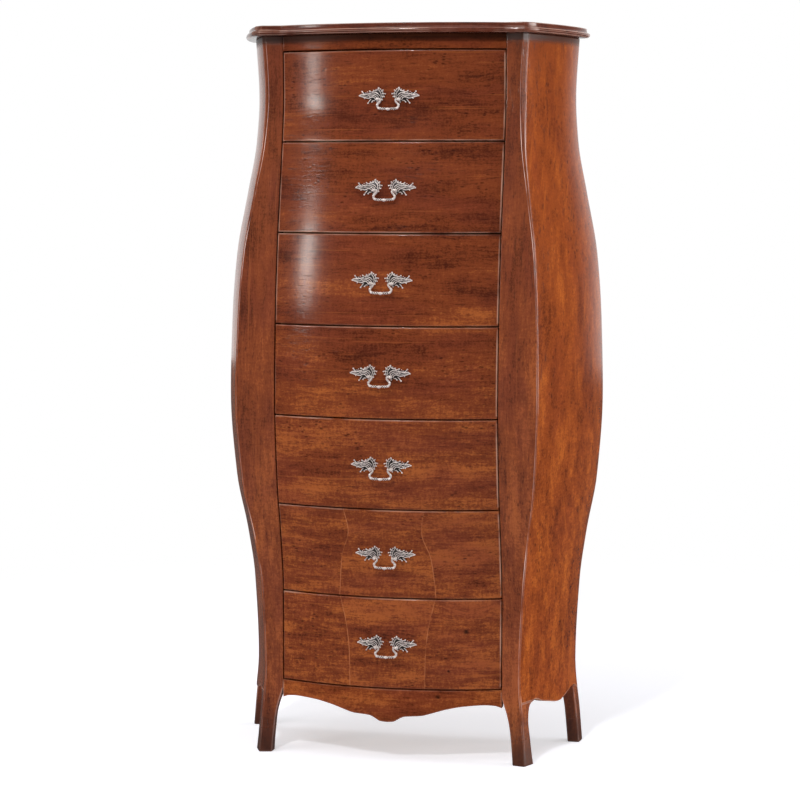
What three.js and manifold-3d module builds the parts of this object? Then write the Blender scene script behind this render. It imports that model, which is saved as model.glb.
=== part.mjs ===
// A seven-drawer semainier with a bombé front and sides, in millimetres.
// x runs to the right, y to the back, z up, and y = 0 is the back of the carcass while it is built.
import * as THREE from "three";
import { mergeVertices } from "three/addons/utils/BufferGeometryUtils.js";
import Module from "manifold-3d";

const wasm = await Module();
wasm.setup();

// Driving dimensions of the carcass.
const overallHeight = 1400;
const topThickness = 19;
const postFaceWidth = 32.5; // front corner to opening, where the body is narrowest
const bellyHalfSwell = 40.5; // added at the front corner where it is widest
const rearFlare = 74.5; // how far the back is wider than the front, at each side
const rearHalfSwell = 50;
const neckDepth = 224.5; // front corner to back, at the neck
const bellyForward = 56; // how far the belly stands ahead of the neck
const frontBow = 39; // how far the middle of a drawer stands ahead of its ends
const cornerKeel = 5; // how far the front corner stands ahead of the drawer ends
const cornerCant = 9; // width and depth of the canted corner at the top

// Driving dimensions of the drawers.
const drawerCount = 7;
const lowestDrawerHeight = 144.6;
const friezeHeight = 29.6; // top drawer to top board
const drawerGrade = 0.75; // how much taller each drawer is than the one above it
const drawerHalfWidth = 214;
const drawerSideGap = 2;
const drawerGap = 2.6; // between one drawer front and the next
const frontThickness = 20; // least thickness of a drawer front
const innerFlat = 14; // flat at each end of a front's inner face, where a side butts
const boxThickness = 10;
const boxSideInset = 1;
const boxTopClearance = 4;
const boxBackClearance = 14;
const tailCount = 3;
const tailDepth = 12;
const tailWidth = 26;
const tailFlare = 4;
const bottomThickness = 6;
const bottomHeight = 9; // underside of the drawer's bottom above the edge of its side
const grooveDepth = 5;
const slideClearance = 0.4;

// Driving dimensions of the frame.
const panelThickness = 12;
const postDepth = 50;
const rearPostWidth = 30;
const rearPostDepth = 32;
const footWidth = 22.5;
const rearFootWidth = 26;
const footDepth = 27;
const legTaperDrop = 16.6; // where the legs begin to thin, below the lowest drawer
const railThickness = 18;
const boardThickness = 10;
const guideWidth = 14;
const guideHeight = 12;
const guideClearance = 1;
const backThickness = 10;
const backInset = 2;
const fit = 0.3; // gap between pieces that touch
const cutOverrun = 6; // how far a cutting solid runs past what it cuts

// Driving dimensions of the top's moulding.
const noseOverhang = 15;
const rearOverhang = 4;

// Driving dimensions of the aprons.
const centreDrop = 65; // lowest point of the front apron below the lowest drawer
const panelDrop = 44.7; // lowest point of the side panel's edge below the lowest drawer
const panelCutRise = 20.5; // how far that edge climbs to the legs

// Driving dimensions of a handle.
const rosetteLength = 52;
const rosetteHeight = 30;
const rosetteThickness = 3.6;
const rosetteStandOff = 0.5;
const rosetteCentre = 31.5;
const eyeRadius = 3.2;
const eyeOffset = 20.5;
const eyeDrop = 7;
const eyeReach = 8; // pivot axis in front of the rosette's back
const eyeNose = 3.4; // how far an eye runs past the pivot axis
const pinClearance = 0.3;
const pinLength = 7;
const pinReach = 1.1; // how far a pin's hole runs past the middle of its eye
const bailHalfWidth = 20.5;
const bailDrop = 18.5;
const bailRadius = 2;

// How finely the curves are stepped.
const bailSteps = 22;
const bailSides = 6;
const eyeSides = 10;
const levelCount = 20; // up the body in a post or panel
const faceLevels = 5; // up a drawer front, odd, so that a rosette sits on the middle one
const faceColumns = 14; // across a drawer front
const innerColumns = 6; // across half of its inner face
const stripColumns = 16; // across a rail or apron
const planColumns = 8; // across half of the top board's front
const sideColumns = 6; // from the front corner to the back
const bottomColumns = 12; // across a drawer's bottom
const rearLevels = 12; // up the back panel

// Shapes as shares of the sizes above, from the floor up.
const stationHeightShares = [0, 0.043, 0.12, 0.233, 0.307, 0.386, 0.5, 0.614, 0.7, 0.786, 0.857, 0.918, 1];
const sideSwellShares = [0.3, 0.2, 0, 0.14, 0.41, 0.8, 1, 0.92, 0.74, 0.31, -0.04, -0.14, -0.02];
const forwardSwellShares = [0.15, 0.08, 0.05, 0.03, 0.3, 0.74, 1, 0.86, 0.62, 0.22, -0.12, -0.33, -0.28];
const cantShares = [0.3, 0.3, 0.3, 0.3, 0.25, 0.25, 0.25, 0.25, 0.3, 0.5, 0.8, 1, 1];
const legTaperShares = [0, 0.2, 0.37, 0.6, 0.76, 0.86, 0.91, 0.94, 0.97, 1];
const legWidthShares = [0, 0.02, 0.06, 0.16, 0.36, 0.6, 0.74, 0.83, 0.92, 1];
const legDepthShares = [0, -0.16, -0.24, -0.33, -0.2, 0.02, 0.3, 0.87, 1, 1];
const apronWidthShares = [0, 0.06, 0.1, 0.16, 0.31, 0.38, 0.45, 0.54, 0.68, 0.85, 0.94, 1];
const apronDropShares = [1, 0.98, 0.91, 0.82, 0.78, 0.72, 0.65, 0.57, 0.49, 0.455, 0.48, 0.55];
const panelLengthShares = [0, 0.16, 0.2, 0.29, 0.4, 0.52, 0.58, 0.63, 0.74, 0.82, 0.89, 0.95, 1];
const panelRiseShares = [0.95, 0.95, 1, 0.61, 0.32, 0.03, 0, 0.15, 0.49, 0.75, 0.8, 0.55, 0.35];
const topHeightShares = [0, 0.1, 0.3, 0.52, 0.76, 0.92, 1];
const topOverhangShares = [0.15, 0.6, 0.92, 1, 0.86, 0.62, 0.5];
const mitreLimit = 0.5; // least cosine at a corner that the moulding runs round
const sideCurvePower = 1.5; // how quickly the side turns parallel to the depth

// Outline of the right rosette, as shares of its length and height.
const rosetteShares = [
  [-0.5, 0.1], [-0.43, -0.05], [-0.35, -0.07], [-0.28, -0.27], [-0.19, -0.43], [-0.1, -0.33],
  [0.015, -0.43], [0.17, -0.5], [0.09, -0.25], [0.22, -0.18], [0.36, -0.11], [0.5, -0.01],
  [0.42, 0.1], [0.39, 0.27], [0.27, 0.1], [0.14, 0.15], [0.1, 0.29], [0.015, 0.2],
  [-0.08, 0.33], [-0.16, 0.38], [-0.23, 0.5], [-0.3, 0.3], [-0.39, 0.33], [-0.38, 0.2],
];
const rosetteCrownShare = 0.72;

// The bail's centre line from its pin to the middle, as shares of its half width and drop.
const bailPathShares = [
  [0.88, 0], [0.7, 0], [0.7, 0.24], [0.88, 0.43], [1, 0.64], [0.84, 0.88], [0.5, 0.97], [0.2, 0.96],
  [0, 1],
];
const bailLengthShares = [0, 0.1, 0.16, 0.3, 0.36, 0.42, 0.46, 0.5];
const bailRadiusShares = [0.85, 0.85, 1, 1.05, 1.45, 1.1, 1.1, 1.75];

const colours = { front: 0x84421f, carcass: 0x7a3a1c, inside: 0xb08658, metal: 0x9b948a };
const finishes = {
  front: { color: colours.front, roughness: 0.42, metalness: 0 },
  carcass: { color: colours.carcass, roughness: 0.42, metalness: 0 },
  inside: { color: colours.inside, roughness: 0.7, metalness: 0 },
  metal: { color: colours.metal, roughness: 0.35, metalness: 0.9 },
};

const bodyTop = overallHeight - topThickness;
const drawerPitch = (bodyTop - friezeHeight - lowestDrawerHeight) / drawerCount;
const boxHalfWidth = drawerHalfWidth - boxSideInset;
const openingHalfWidth = drawerHalfWidth + drawerSideGap;
const neckHalfWidth = openingHalfWidth + postFaceWidth;
const rearNeckHalfWidth = neckHalfWidth + rearFlare;
const legTaperHeight = lowestDrawerHeight - legTaperDrop;
const panelBottomHeight = lowestDrawerHeight - panelDrop;
const pinRadius = bailRadius * bailRadiusShares[0];

// A smooth curve through the given stations that never runs past them.
function smoothThrough(xs, ys) {
  const last = xs.length - 1;
  const slopes = xs.slice(1).map((x, i) => (ys[i + 1] - ys[i]) / (x - xs[i]));
  const tangents = xs.map((x, i) => {
    if (i === 0) return slopes[0];
    if (i === last) return slopes[last - 1];
    if (slopes[i - 1] * slopes[i] <= 0) return 0;
    return (2 * slopes[i - 1] * slopes[i]) / (slopes[i - 1] + slopes[i]);
  });
  return (x) => {
    const at = Math.min(Math.max(x, xs[0]), xs[last]);
    let i = 0;
    while (i < last - 1 && at > xs[i + 1]) i += 1;
    const span = xs[i + 1] - xs[i];
    const t = (at - xs[i]) / span;
    const rise = t * t * (3 - 2 * t);
    const lead = t * (1 - t) * (1 - t) * tangents[i];
    const tail = t * t * (t - 1) * tangents[i + 1];
    return ys[i] + (ys[i + 1] - ys[i]) * rise + span * (lead + tail);
  };
}

const stationHeights = stationHeightShares.map((share) => share * bodyTop);
const sideSwell = smoothThrough(stationHeights, sideSwellShares);
const forwardSwell = smoothThrough(stationHeights, forwardSwellShares);
const cantShare = smoothThrough(stationHeights, cantShares);

// The body's horizontal section: front at the drawer ends, corner, cant and rear width.
const frontAt = (z) => -(neckDepth + bellyForward * forwardSwell(z));
const cornerX = (z) => neckHalfWidth + bellyHalfSwell * sideSwell(z);
const cornerY = (z) => frontAt(z) - cornerKeel;
const cantAt = (z) => cornerCant * cantShare(z);
const rearX = (z) => rearNeckHalfWidth + rearHalfSwell * sideSwell(z);

function bowAt(x, halfWidth) {
  const t = Math.min(Math.abs(x) / halfWidth, 1);
  return frontBow * (1 - t * t);
}

function sideX(y, z) {
  const startX = cornerX(z) + cantAt(z);
  const startY = cornerY(z) + cantAt(z);
  const t = Math.min(Math.max((y - startY) / -startY, 0), 1);
  return startX + (rearX(z) - startX) * (1 - (1 - t) ** sideCurvePower);
}

function steps(from, to, count) {
  return Array.from({ length: count + 1 }, (unused, i) => from * (1 - i / count) + to * (i / count));
}

// A closed solid through rings that have as many points each.
function skin(rings, caps) {
  const count = rings[0].length;
  const positions = rings.flat().flatMap((p) => [p.x, p.y, p.z]);
  const index = [];
  for (let r = 0; r < rings.length - 1; r += 1) {
    for (let k = 0; k < count; k += 1) {
      const next = (k + 1) % count;
      const low = r * count;
      const high = low + count;
      index.push(low + k, low + next, high + next, low + k, high + next, high + k);
    }
  }
  const top = (rings.length - 1) * count;
  caps[0].forEach(([a, b, c]) => index.push(a, c, b));
  caps[1].forEach(([a, b, c]) => index.push(top + a, top + b, top + c));
  const geometry = new THREE.BufferGeometry();
  geometry.setAttribute("position", new THREE.Float32BufferAttribute(positions, 3));
  geometry.setIndex(index);
  return geometry;
}

// A loft through flat outlines, one at each height.
function loft(heights, outlineAt) {
  let rings = heights.map((z) => outlineAt(z).map(([x, y]) => new THREE.Vector3(x, y, z)));
  if (THREE.ShapeUtils.area(rings[0]) < 0) rings = rings.map((ring) => [...ring].reverse());
  const flat = (ring) => ring.map((p) => new THREE.Vector2(p.x, p.y));
  const caps = [rings[0], rings[rings.length - 1]];
  return skin(rings, caps.map((ring) => THREE.ShapeUtils.triangulateShape(flat(ring), [])));
}

function plate(points, thickness) {
  const shape = new THREE.Shape(points.map(([x, y]) => new THREE.Vector2(x, y)));
  return new THREE.ExtrudeGeometry(shape, { depth: thickness, bevelEnabled: false });
}

// A plate whose outline lies across x and z, and which runs back from y = from to y = to.
function uprightPlate(points, from, to) {
  return plate(points, to - from).rotateX(Math.PI / 2).translate(0, to, 0);
}

// A plate whose outline lies across y and z, and which runs from x = from to x = to.
function sidePlate(points, from, to) {
  return plate(points, to - from).rotateY(Math.PI / 2).rotateX(Math.PI / 2).translate(from, 0, 0);
}

function block(x0, x1, y0, y1, z0, z1) {
  const geometry = new THREE.BoxGeometry(x1 - x0, y1 - y0, z1 - z0);
  return geometry.translate((x0 + x1) / 2, (y0 + y1) / 2, (z0 + z1) / 2);
}

function toSolid(geometry) {
  const bare = geometry.clone();
  bare.deleteAttribute("normal");
  bare.deleteAttribute("uv");
  const merged = mergeVertices(bare);
  const vertProperties = new Float32Array(merged.attributes.position.array);
  const triVerts = new Uint32Array(merged.index.array);
  return new wasm.Manifold(new wasm.Mesh({ numProp: 3, vertProperties, triVerts }));
}

function toGeometry(solid) {
  const made = solid.getMesh();
  const geometry = new THREE.BufferGeometry();
  geometry.setAttribute("position", new THREE.BufferAttribute(made.vertProperties, 3));
  geometry.setIndex(new THREE.BufferAttribute(made.triVerts, 1));
  return geometry;
}

function cut(geometry, tools) {
  return toGeometry(tools.reduce((left, tool) => left.subtract(toSolid(tool)), toSolid(geometry)));
}

function join(geometries) {
  return toGeometry(geometries.map(toSolid).reduce((left, right) => left.add(right)));
}

function mirrored(geometry) {
  const flipped = geometry.clone().scale(-1, 1, 1);
  const order = flipped.index.array;
  for (let i = 0; i < order.length; i += 3) [order[i + 1], order[i + 2]] = [order[i + 2], order[i + 1]];
  return flipped;
}

const semainier = new THREE.Group();

function addTo(group, name, geometry, finish) {
  geometry.computeVertexNormals();
  const mesh = new THREE.Mesh(geometry, new THREE.MeshStandardMaterial(finishes[finish]));
  mesh.name = name;
  group.add(mesh);
  return mesh;
}

// Bows between the posts: a strip that follows the front, with its inner face parallel.
function bowedStrip(heights, halfWidth, thickness, pointCount) {
  const xs = steps(-halfWidth, halfWidth, pointCount);
  return loft(heights, (z) => {
    const face = xs.map((x) => [x, frontAt(z) - bowAt(x, drawerHalfWidth)]);
    const inner = xs.map((x) => [x, frontAt(z) - bowAt(x, drawerHalfWidth) + thickness]);
    return [...face, ...inner.reverse()];
  });
}

// The top board: the body's plan at the top, pushed out by the moulding's profile.
function bodyPlan(z) {
  const xs = steps(0, drawerHalfWidth, planColumns);
  const half = xs.map((x) => [x, frontAt(z) - bowAt(x, drawerHalfWidth)]);
  half.push([cornerX(z), cornerY(z)]);
  const startY = cornerY(z) + cantAt(z);
  steps(startY, 0, sideColumns).forEach((y) => half.push([sideX(y, z), y]));
  const left = half.slice(1).map(([x, y]) => [-x, y]);
  return [...left.reverse(), ...half];
}

function pushedOut(points, distance, rearY) {
  return points.map((point, i) => {
    const before = points[(i + points.length - 1) % points.length];
    const after = points[(i + 1) % points.length];
    const first = new THREE.Vector2(point[1] - before[1], before[0] - point[0]).normalize();
    const second = new THREE.Vector2(after[1] - point[1], point[0] - after[0]).normalize();
    const isRear = point[1] === 0;
    const out = isRear ? (point[0] < 0 ? second : first) : first.clone().add(second).normalize();
    const reach = isRear ? distance : distance / Math.max(out.dot(first), mitreLimit);
    return [point[0] + out.x * reach, isRear ? rearY : point[1] + out.y * reach];
  });
}

function topBoard() {
  const plan = bodyPlan(bodyTop);
  const overhang = smoothThrough(topHeightShares, topOverhangShares);
  const heights = topHeightShares.map((share) => bodyTop + share * topThickness);
  return loft(heights, (z) => {
    const share = overhang((z - bodyTop) / topThickness);
    return pushedOut(plan, noseOverhang * share, rearOverhang * share);
  });
}

// Posts run from the floor to the top board, and thin down to the feet.
const legTaperHeights = legTaperShares.map((share) => share * legTaperHeight);
const legWidening = smoothThrough(legTaperHeights, legWidthShares);
const legDeepening = smoothThrough(legTaperHeights, legDepthShares);
const legLevels = legTaperHeights.slice(0, -1);
const bodyLevels = steps(legTaperHeight, bodyTop - fit, levelCount);
const postLevels = [...legLevels, ...bodyLevels];

function frontPost(grow) {
  return loft(postLevels, (z) => {
    const cant = cantAt(z);
    const narrow = cornerX(z) - footWidth;
    const inner = narrow + (openingHalfWidth - narrow) * legWidening(z);
    const depth = footDepth + (postDepth - footDepth) * legDeepening(z);
    const rear = cornerY(z) + depth + grow;
    return [
      [inner - grow, frontAt(z)],
      [cornerX(z), cornerY(z)],
      [cornerX(z) + cant, cornerY(z) + cant],
      [sideX(rear, z), rear],
      [inner - grow, rear],
    ];
  });
}

function rearPost(grow) {
  return loft(postLevels, (z) => {
    const width = rearFootWidth + (rearPostWidth - rearFootWidth) * legWidening(z) + grow;
    const depth = footDepth + (rearPostDepth - footDepth) * legWidening(z) + grow;
    return [
      [rearX(z), grow],
      [rearX(z) - width, grow],
      [rearX(z) - width, -depth],
      [sideX(-depth, z), -depth],
    ];
  });
}

// The side panel is let into rebates of both posts, so its outline is also the posts' cutter.
function sidePanel(grow) {
  const low = panelBottomHeight - cutOverrun;
  const inside = steps(low, bodyTop - fit, levelCount);
  const heights = grow > 0 ? [low - cutOverrun, ...inside, bodyTop + cutOverrun] : inside;
  const shell = loft(heights, (z) => {
    const ys = steps(cornerY(z) + cantAt(z), 0, sideColumns);
    const outward = grow > 0 ? cutOverrun : 0;
    const depthAt = (y, i) => {
      if (i === 0) return y - grow;
      return i === ys.length - 1 ? y + outward : y;
    };
    const outer = ys.map((y, i) => [sideX(y, z) + outward, depthAt(y, i)]);
    const inner = ys.map((y, i) => [sideX(y, z) - panelThickness - grow, depthAt(y, i)]);
    return [...outer, ...inner.reverse()];
  });
  const start = cornerY(panelBottomHeight) + cantAt(panelBottomHeight);
  const edge = panelLengthShares.map((share, i) => {
    return [start * (1 - share), panelBottomHeight + panelCutRise * panelRiseShares[i] - grow];
  });
  const floor = low - 2 * cutOverrun;
  const before = [edge[0][0] - postDepth, edge[0][1]];
  const after = [edge[edge.length - 1][0] + postDepth, edge[edge.length - 1][1]];
  const outline = [[before[0], floor], before, ...edge, after, [after[0], floor]];
  return cut(shell, [sidePlate(outline, drawerHalfWidth, rearX(bodyTop / 2) + postDepth)]);
}

const sideCutters = [sidePanel(fit), frontPost(fit), rearPost(fit)];
const frameCutters = [...sideCutters, ...sideCutters.map(mirrored)];

function apron() {
  const low = lowestDrawerHeight - centreDrop - cutOverrun;
  const high = lowestDrawerHeight - drawerGap / 2;
  const strip = bowedStrip(steps(low, high, 2), openingHalfWidth - fit, railThickness, stripColumns);
  const half = apronWidthShares.map((share, i) => {
    return [share * openingHalfWidth, lowestDrawerHeight - centreDrop * apronDropShares[i]];
  });
  const end = [openingHalfWidth + cutOverrun, half[half.length - 1][1]];
  const left = half.slice(1).map(([x, z]) => [-x, z]);
  const floor = low - cutOverrun;
  const outline = [[-end[0], floor], [-end[0], end[1]], ...left.reverse(), ...half, end, [end[0], floor]];
  const reach = neckDepth + bellyForward + frontBow;
  return cut(strip, [uprightPlate(outline, -reach, 0)]);
}

// A drawer front's inner face is bowed between two flats, and what lies behind it follows it.
const innerBowWidth = drawerHalfWidth - innerFlat;
const innerHalf = [...steps(0, innerBowWidth, innerColumns), drawerHalfWidth];
const innerXs = [...innerHalf.slice(1).map((x) => -x).reverse(), ...innerHalf];

// The lines between the drawers, and where each drawer stands, counted from the bottom.
const drawerLine = (i) => lowestDrawerHeight + i * drawerPitch + (drawerGrade * i * (drawerCount - i)) / 2;
const drawers = Array.from({ length: drawerCount }, (unused, i) => {
  const line = drawerLine(i);
  const lineAbove = drawerLine(i + 1);
  const low = line + drawerGap / 2;
  const high = lineAbove - drawerGap / 2;
  const rearmost = Math.max(...steps(low, high, faceLevels).map(frontAt));
  return {
    number: drawerCount - i,
    low,
    high,
    inner: rearmost + frontThickness,
    boxLow: line + boardThickness / 2 + slideClearance,
    boxHigh: lineAbove - boardThickness / 2 - boxTopClearance,
  };
});
const boxRear = -(backInset + backThickness + boxBackClearance);

// A board across the carcass, notched round the posts, with two guides for the drawer above it.
function carcassBoard(low, frontEdge) {
  const high = low + boardThickness;
  const rear = -(backInset + backThickness + fit);
  const half = innerHalf.map((x) => [x, frontEdge - bowAt(x, innerBowWidth)]);
  steps(frontEdge, rear, sideColumns).forEach((y) => half.push([sideX(y, low), y]));
  const left = half.slice(1).map(([x, y]) => [-x, y]);
  const board = plate([...left.reverse(), ...half], boardThickness).translate(0, 0, low);
  const guideX = boxHalfWidth + guideClearance;
  const guideFront = Math.max(frontEdge, cornerY(low) + postDepth + cutOverrun);
  const guideRear = -(rearPostDepth + cutOverrun);
  const guide = block(guideX, guideX + guideWidth, guideFront, guideRear, high - fit, high + guideHeight);
  return join([cut(board, frameCutters), guide, mirrored(guide)]);
}

// A flat piece between the rear posts.
function rearPlate(low, high, thickness) {
  const right = steps(low, high, rearLevels).map((z) => [rearX(z) - rearPostWidth / 2, z]);
  const left = right.map(([x, z]) => [-x, z]).reverse();
  return cut(uprightPlate([...right, ...left], -(backInset + thickness), -backInset), frameCutters);
}

// Dovetails of a drawer side, as outlines across y and z.
function tailOutlines(drawer, grow) {
  const room = drawer.boxHigh - drawer.boxLow - bottomHeight - bottomThickness;
  const start = drawer.boxLow + bottomHeight + bottomThickness;
  return Array.from({ length: tailCount }, (unused, i) => {
    const middle = start + (room * (i + 0.5)) / tailCount;
    const root = tailWidth / 2 - tailFlare + grow;
    const tip = tailWidth / 2 + grow;
    const near = drawer.inner + fit + (grow > 0 ? cutOverrun : 0);
    const far = drawer.inner - tailDepth - grow;
    return [[near, middle - root], [far, middle - tip], [far, middle + tip], [near, middle + root]];
  });
}

function drawerBottom(drawer, grow) {
  const halfWidth = boxHalfWidth - boxThickness + grooveDepth + grow;
  const xs = steps(-halfWidth, halfWidth, bottomColumns);
  const front = xs.map((x) => [x, drawer.inner - grooveDepth - grow - bowAt(x, innerBowWidth)]);
  const rear = boxRear + (grow > 0 ? cutOverrun : 0);
  const outline = [...front, [halfWidth, rear], [-halfWidth, rear]];
  const low = drawer.boxLow + bottomHeight - grow;
  return plate(outline, bottomThickness + 2 * grow).translate(0, 0, low);
}

function drawerFront(drawer) {
  const heights = steps(drawer.low, drawer.high, faceLevels);
  const faceXs = steps(-drawerHalfWidth, drawerHalfWidth, faceColumns);
  const solid = loft(heights, (z) => {
    const face = faceXs.map((x) => [x, frontAt(z) - bowAt(x, drawerHalfWidth)]);
    const inner = innerXs.map((x) => [x, drawer.inner - bowAt(x, innerBowWidth)]);
    return [...face, ...inner.reverse()];
  });
  const sideFrom = boxHalfWidth - boxThickness - fit;
  const sideTo = drawerHalfWidth + cutOverrun;
  const sockets = tailOutlines(drawer, fit).map((outline) => sidePlate(outline, sideFrom, sideTo));
  return cut(solid, [...sockets, ...sockets.map(mirroredPlate), drawerBottom(drawer, fit)]);
}

function mirroredPlate(geometry) {
  return mirrored(mergeVertices(geometry.clone().deleteAttribute("normal").deleteAttribute("uv")));
}

function drawerBox(drawer) {
  const outer = boxHalfWidth;
  const inner = boxHalfWidth - boxThickness;
  const start = drawer.inner + fit;
  const side = block(inner, outer, start, boxRear, drawer.boxLow, drawer.boxHigh);
  const tails = tailOutlines(drawer, 0).map((outline) => {
    const [near, ...rest] = outline;
    const last = rest.pop();
    const rooted = [[near[0] + cutOverrun, near[1]], near, ...rest, last, [last[0] + cutOverrun, last[1]]];
    return sidePlate(rooted, inner, outer);
  });
  const backLow = drawer.boxLow + bottomHeight + bottomThickness + fit;
  const overlap = boxThickness / 2;
  const reach = inner + overlap;
  const back = block(-reach, reach, boxRear - boxThickness, boxRear, backLow, drawer.boxHigh);
  const sides = [side, ...tails];
  const shell = join([...sides, ...sides.map(mirroredPlate), back]);
  return cut(shell, [drawerBottom(drawer, fit)]);
}

// A rosette lies across x and y of its own frame and stands out along z. The leaf turns with
// the bow of the front, and the eye stays square to the bail's axis.
function rosette(hand, turn) {
  const outlineAt = (height) => {
    const share = height > 0 ? rosetteCrownShare : 1;
    return rosetteShares.map(([u, v]) => [hand * u * rosetteLength * share, v * rosetteHeight * share]);
  };
  const leaf = loft([0, rosetteThickness], outlineAt).rotateY(hand * turn);
  const eyeX = hand * (eyeOffset - rosetteCentre);
  const eyeBase = rosetteThickness / 2;
  const eyeLength = eyeReach + eyeNose - eyeBase;
  const eye = new THREE.CylinderGeometry(eyeRadius, eyeRadius, eyeLength, eyeSides);
  eye.rotateX(Math.PI / 2).translate(eyeX, -eyeDrop, eyeBase + eyeLength / 2);
  const holeLength = pinLength + cutOverrun;
  const holeRadius = pinRadius + pinClearance;
  const hole = new THREE.CylinderGeometry(holeRadius, holeRadius, holeLength, eyeSides);
  const holeEnd = eyeX + hand * pinReach;
  hole.rotateZ(Math.PI / 2).translate(holeEnd - (hand * holeLength) / 2, -eyeDrop, eyeReach);
  return cut(join([leaf, eye]), [hole]);
}

// The bail hangs from x, its pivot axis, in the plane of x and y of its own frame.
function bail() {
  const half = bailPathShares.map(([x, drop]) => [x * bailHalfWidth, -drop * bailDrop]);
  const pinEnd = eyeOffset + pinReach - fit;
  const right = [[pinEnd, 0], ...half];
  const left = right.slice(0, -1).map(([x, y]) => [-x, y]);
  const points = [...left, ...right.reverse()].map(([x, y]) => new THREE.Vector3(x, y, 0));
  const path = new THREE.CatmullRomCurve3(points, false, "centripetal");
  const thickness = smoothThrough(bailLengthShares, bailRadiusShares);
  const rings = steps(0, 1, bailSteps).map((t) => {
    const centre = path.getPointAt(t);
    const along = path.getTangentAt(t);
    const across = new THREE.Vector3(along.y, -along.x, 0);
    const radius = bailRadius * thickness(Math.min(t, 1 - t));
    return steps(0, 2 * Math.PI, bailSides).slice(0, -1).map((angle) => {
      const point = centre.clone().addScaledVector(across, -radius * Math.cos(angle));
      return point.add(new THREE.Vector3(0, 0, radius * Math.sin(angle)));
    });
  });
  const fan = steps(1, bailSides - 2, bailSides - 3).map((k) => [0, k, k + 1]);
  return skin(rings, [fan, fan]);
}

function addHandle(drawer) {
  const z = (drawer.low + drawer.high) / 2;
  const facet = (drawer.high - drawer.low) / faceLevels;
  const [faceLow, faceHigh] = [frontAt(z - facet / 2), frontAt(z + facet / 2)];
  const lean = Math.atan((faceHigh - faceLow) / facet);
  const handle = new THREE.Group();
  handle.position.set(0, (faceLow + faceHigh) / 2, z);
  for (const [side, hand] of [["left", -1], ["right", 1]]) {
    const ahead = bowAt(rosetteCentre, drawerHalfWidth);
    const nearBow = bowAt(rosetteCentre - drawerGap, drawerHalfWidth);
    const turn = Math.atan((nearBow - ahead) / drawerGap);
    const seat = new THREE.Group();
    seat.position.set(hand * rosetteCentre, -ahead - rosetteStandOff, 0);
    seat.rotation.x = Math.PI / 2 - lean;
    addTo(seat, `drawer_${drawer.number}_${side}_rosette`, rosette(hand, turn), "metal");
    handle.add(seat);
  }
  const hung = new THREE.Group();
  const sideways = new THREE.Vector3(1, 0, 0);
  const pivot = new THREE.Vector3(0, -eyeDrop, eyeReach).applyAxisAngle(sideways, Math.PI / 2 - lean);
  hung.position.set(0, pivot.y - bowAt(rosetteCentre, drawerHalfWidth) - rosetteStandOff, pivot.z);
  hung.rotation.x = Math.PI / 2 - Math.max(lean, 0);
  addTo(hung, `drawer_${drawer.number}_bail`, bail(), "metal");
  handle.add(hung);
  semainier.add(handle);
}

const pieces = {
  side_panel: sidePanel(0),
  front_post: cut(frontPost(0), [sideCutters[0]]),
  rear_post: cut(rearPost(0), [sideCutters[0]]),
};
for (const [name, geometry] of Object.entries(pieces)) {
  addTo(semainier, `right_${name}`, geometry, "carcass");
  addTo(semainier, `left_${name}`, mirrored(geometry), "carcass");
}
addTo(semainier, "top_board", topBoard(), "carcass");
const topLine = drawerLine(drawerCount);
const friezeHeights = [topLine + drawerGap / 2, bodyTop - fit];
const frieze = bowedStrip(friezeHeights, openingHalfWidth - fit, railThickness, stripColumns);
addTo(semainier, "frieze_rail", frieze, "carcass");
addTo(semainier, "front_apron", apron(), "carcass");
const boardLine = lowestDrawerHeight - boardThickness / 2;
addTo(semainier, "back_panel", rearPlate(boardLine, bodyTop - fit, backThickness), "inside");
addTo(semainier, "rear_rail", rearPlate(panelBottomHeight, boardLine - fit, railThickness), "inside");

drawers.forEach((drawer, i) => {
  const below = drawers[i - 1];
  const frontEdge = Math.max(drawer.inner, below ? below.inner : drawer.inner) + slideClearance;
  const boardLow = drawer.boxLow - slideClearance - boardThickness;
  const name = below ? `dust_board_${drawer.number}` : "bottom_board";
  addTo(semainier, name, carcassBoard(boardLow, frontEdge), "inside");
  addTo(semainier, `drawer_${drawer.number}_front`, drawerFront(drawer), "front");
  addTo(semainier, `drawer_${drawer.number}_box`, drawerBox(drawer), "inside");
  addTo(semainier, `drawer_${drawer.number}_bottom`, drawerBottom(drawer, 0), "inside");
  addHandle(drawer);
});

// The origin is under the middle of the whole piece, on the floor.
semainier.updateMatrixWorld(true);
const extent = new THREE.Box3().setFromObject(semainier, true);
semainier.position.y = -(extent.min.y + extent.max.y) / 2;

export default semainier;
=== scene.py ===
# A seven-drawer semainier in antique cherry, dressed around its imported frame.
import math

import bmesh
import bpy
import numpy as np
from mathutils import Matrix, Vector


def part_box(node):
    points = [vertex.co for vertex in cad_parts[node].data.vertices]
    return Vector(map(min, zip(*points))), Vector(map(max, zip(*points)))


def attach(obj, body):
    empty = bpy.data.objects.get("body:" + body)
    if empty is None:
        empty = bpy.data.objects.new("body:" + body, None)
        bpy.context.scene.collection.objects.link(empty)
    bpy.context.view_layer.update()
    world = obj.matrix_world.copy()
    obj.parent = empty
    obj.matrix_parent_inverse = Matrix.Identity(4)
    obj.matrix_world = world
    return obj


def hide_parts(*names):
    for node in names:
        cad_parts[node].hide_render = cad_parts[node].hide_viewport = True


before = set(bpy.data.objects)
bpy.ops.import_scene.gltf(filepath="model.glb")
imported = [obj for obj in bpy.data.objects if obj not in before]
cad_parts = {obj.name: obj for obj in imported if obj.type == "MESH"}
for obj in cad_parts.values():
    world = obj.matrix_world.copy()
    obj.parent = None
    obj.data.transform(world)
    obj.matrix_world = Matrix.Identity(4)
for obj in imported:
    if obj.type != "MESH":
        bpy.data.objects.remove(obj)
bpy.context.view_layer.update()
scene = bpy.context.scene
scene.view_settings.view_transform = "Standard"
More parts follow.
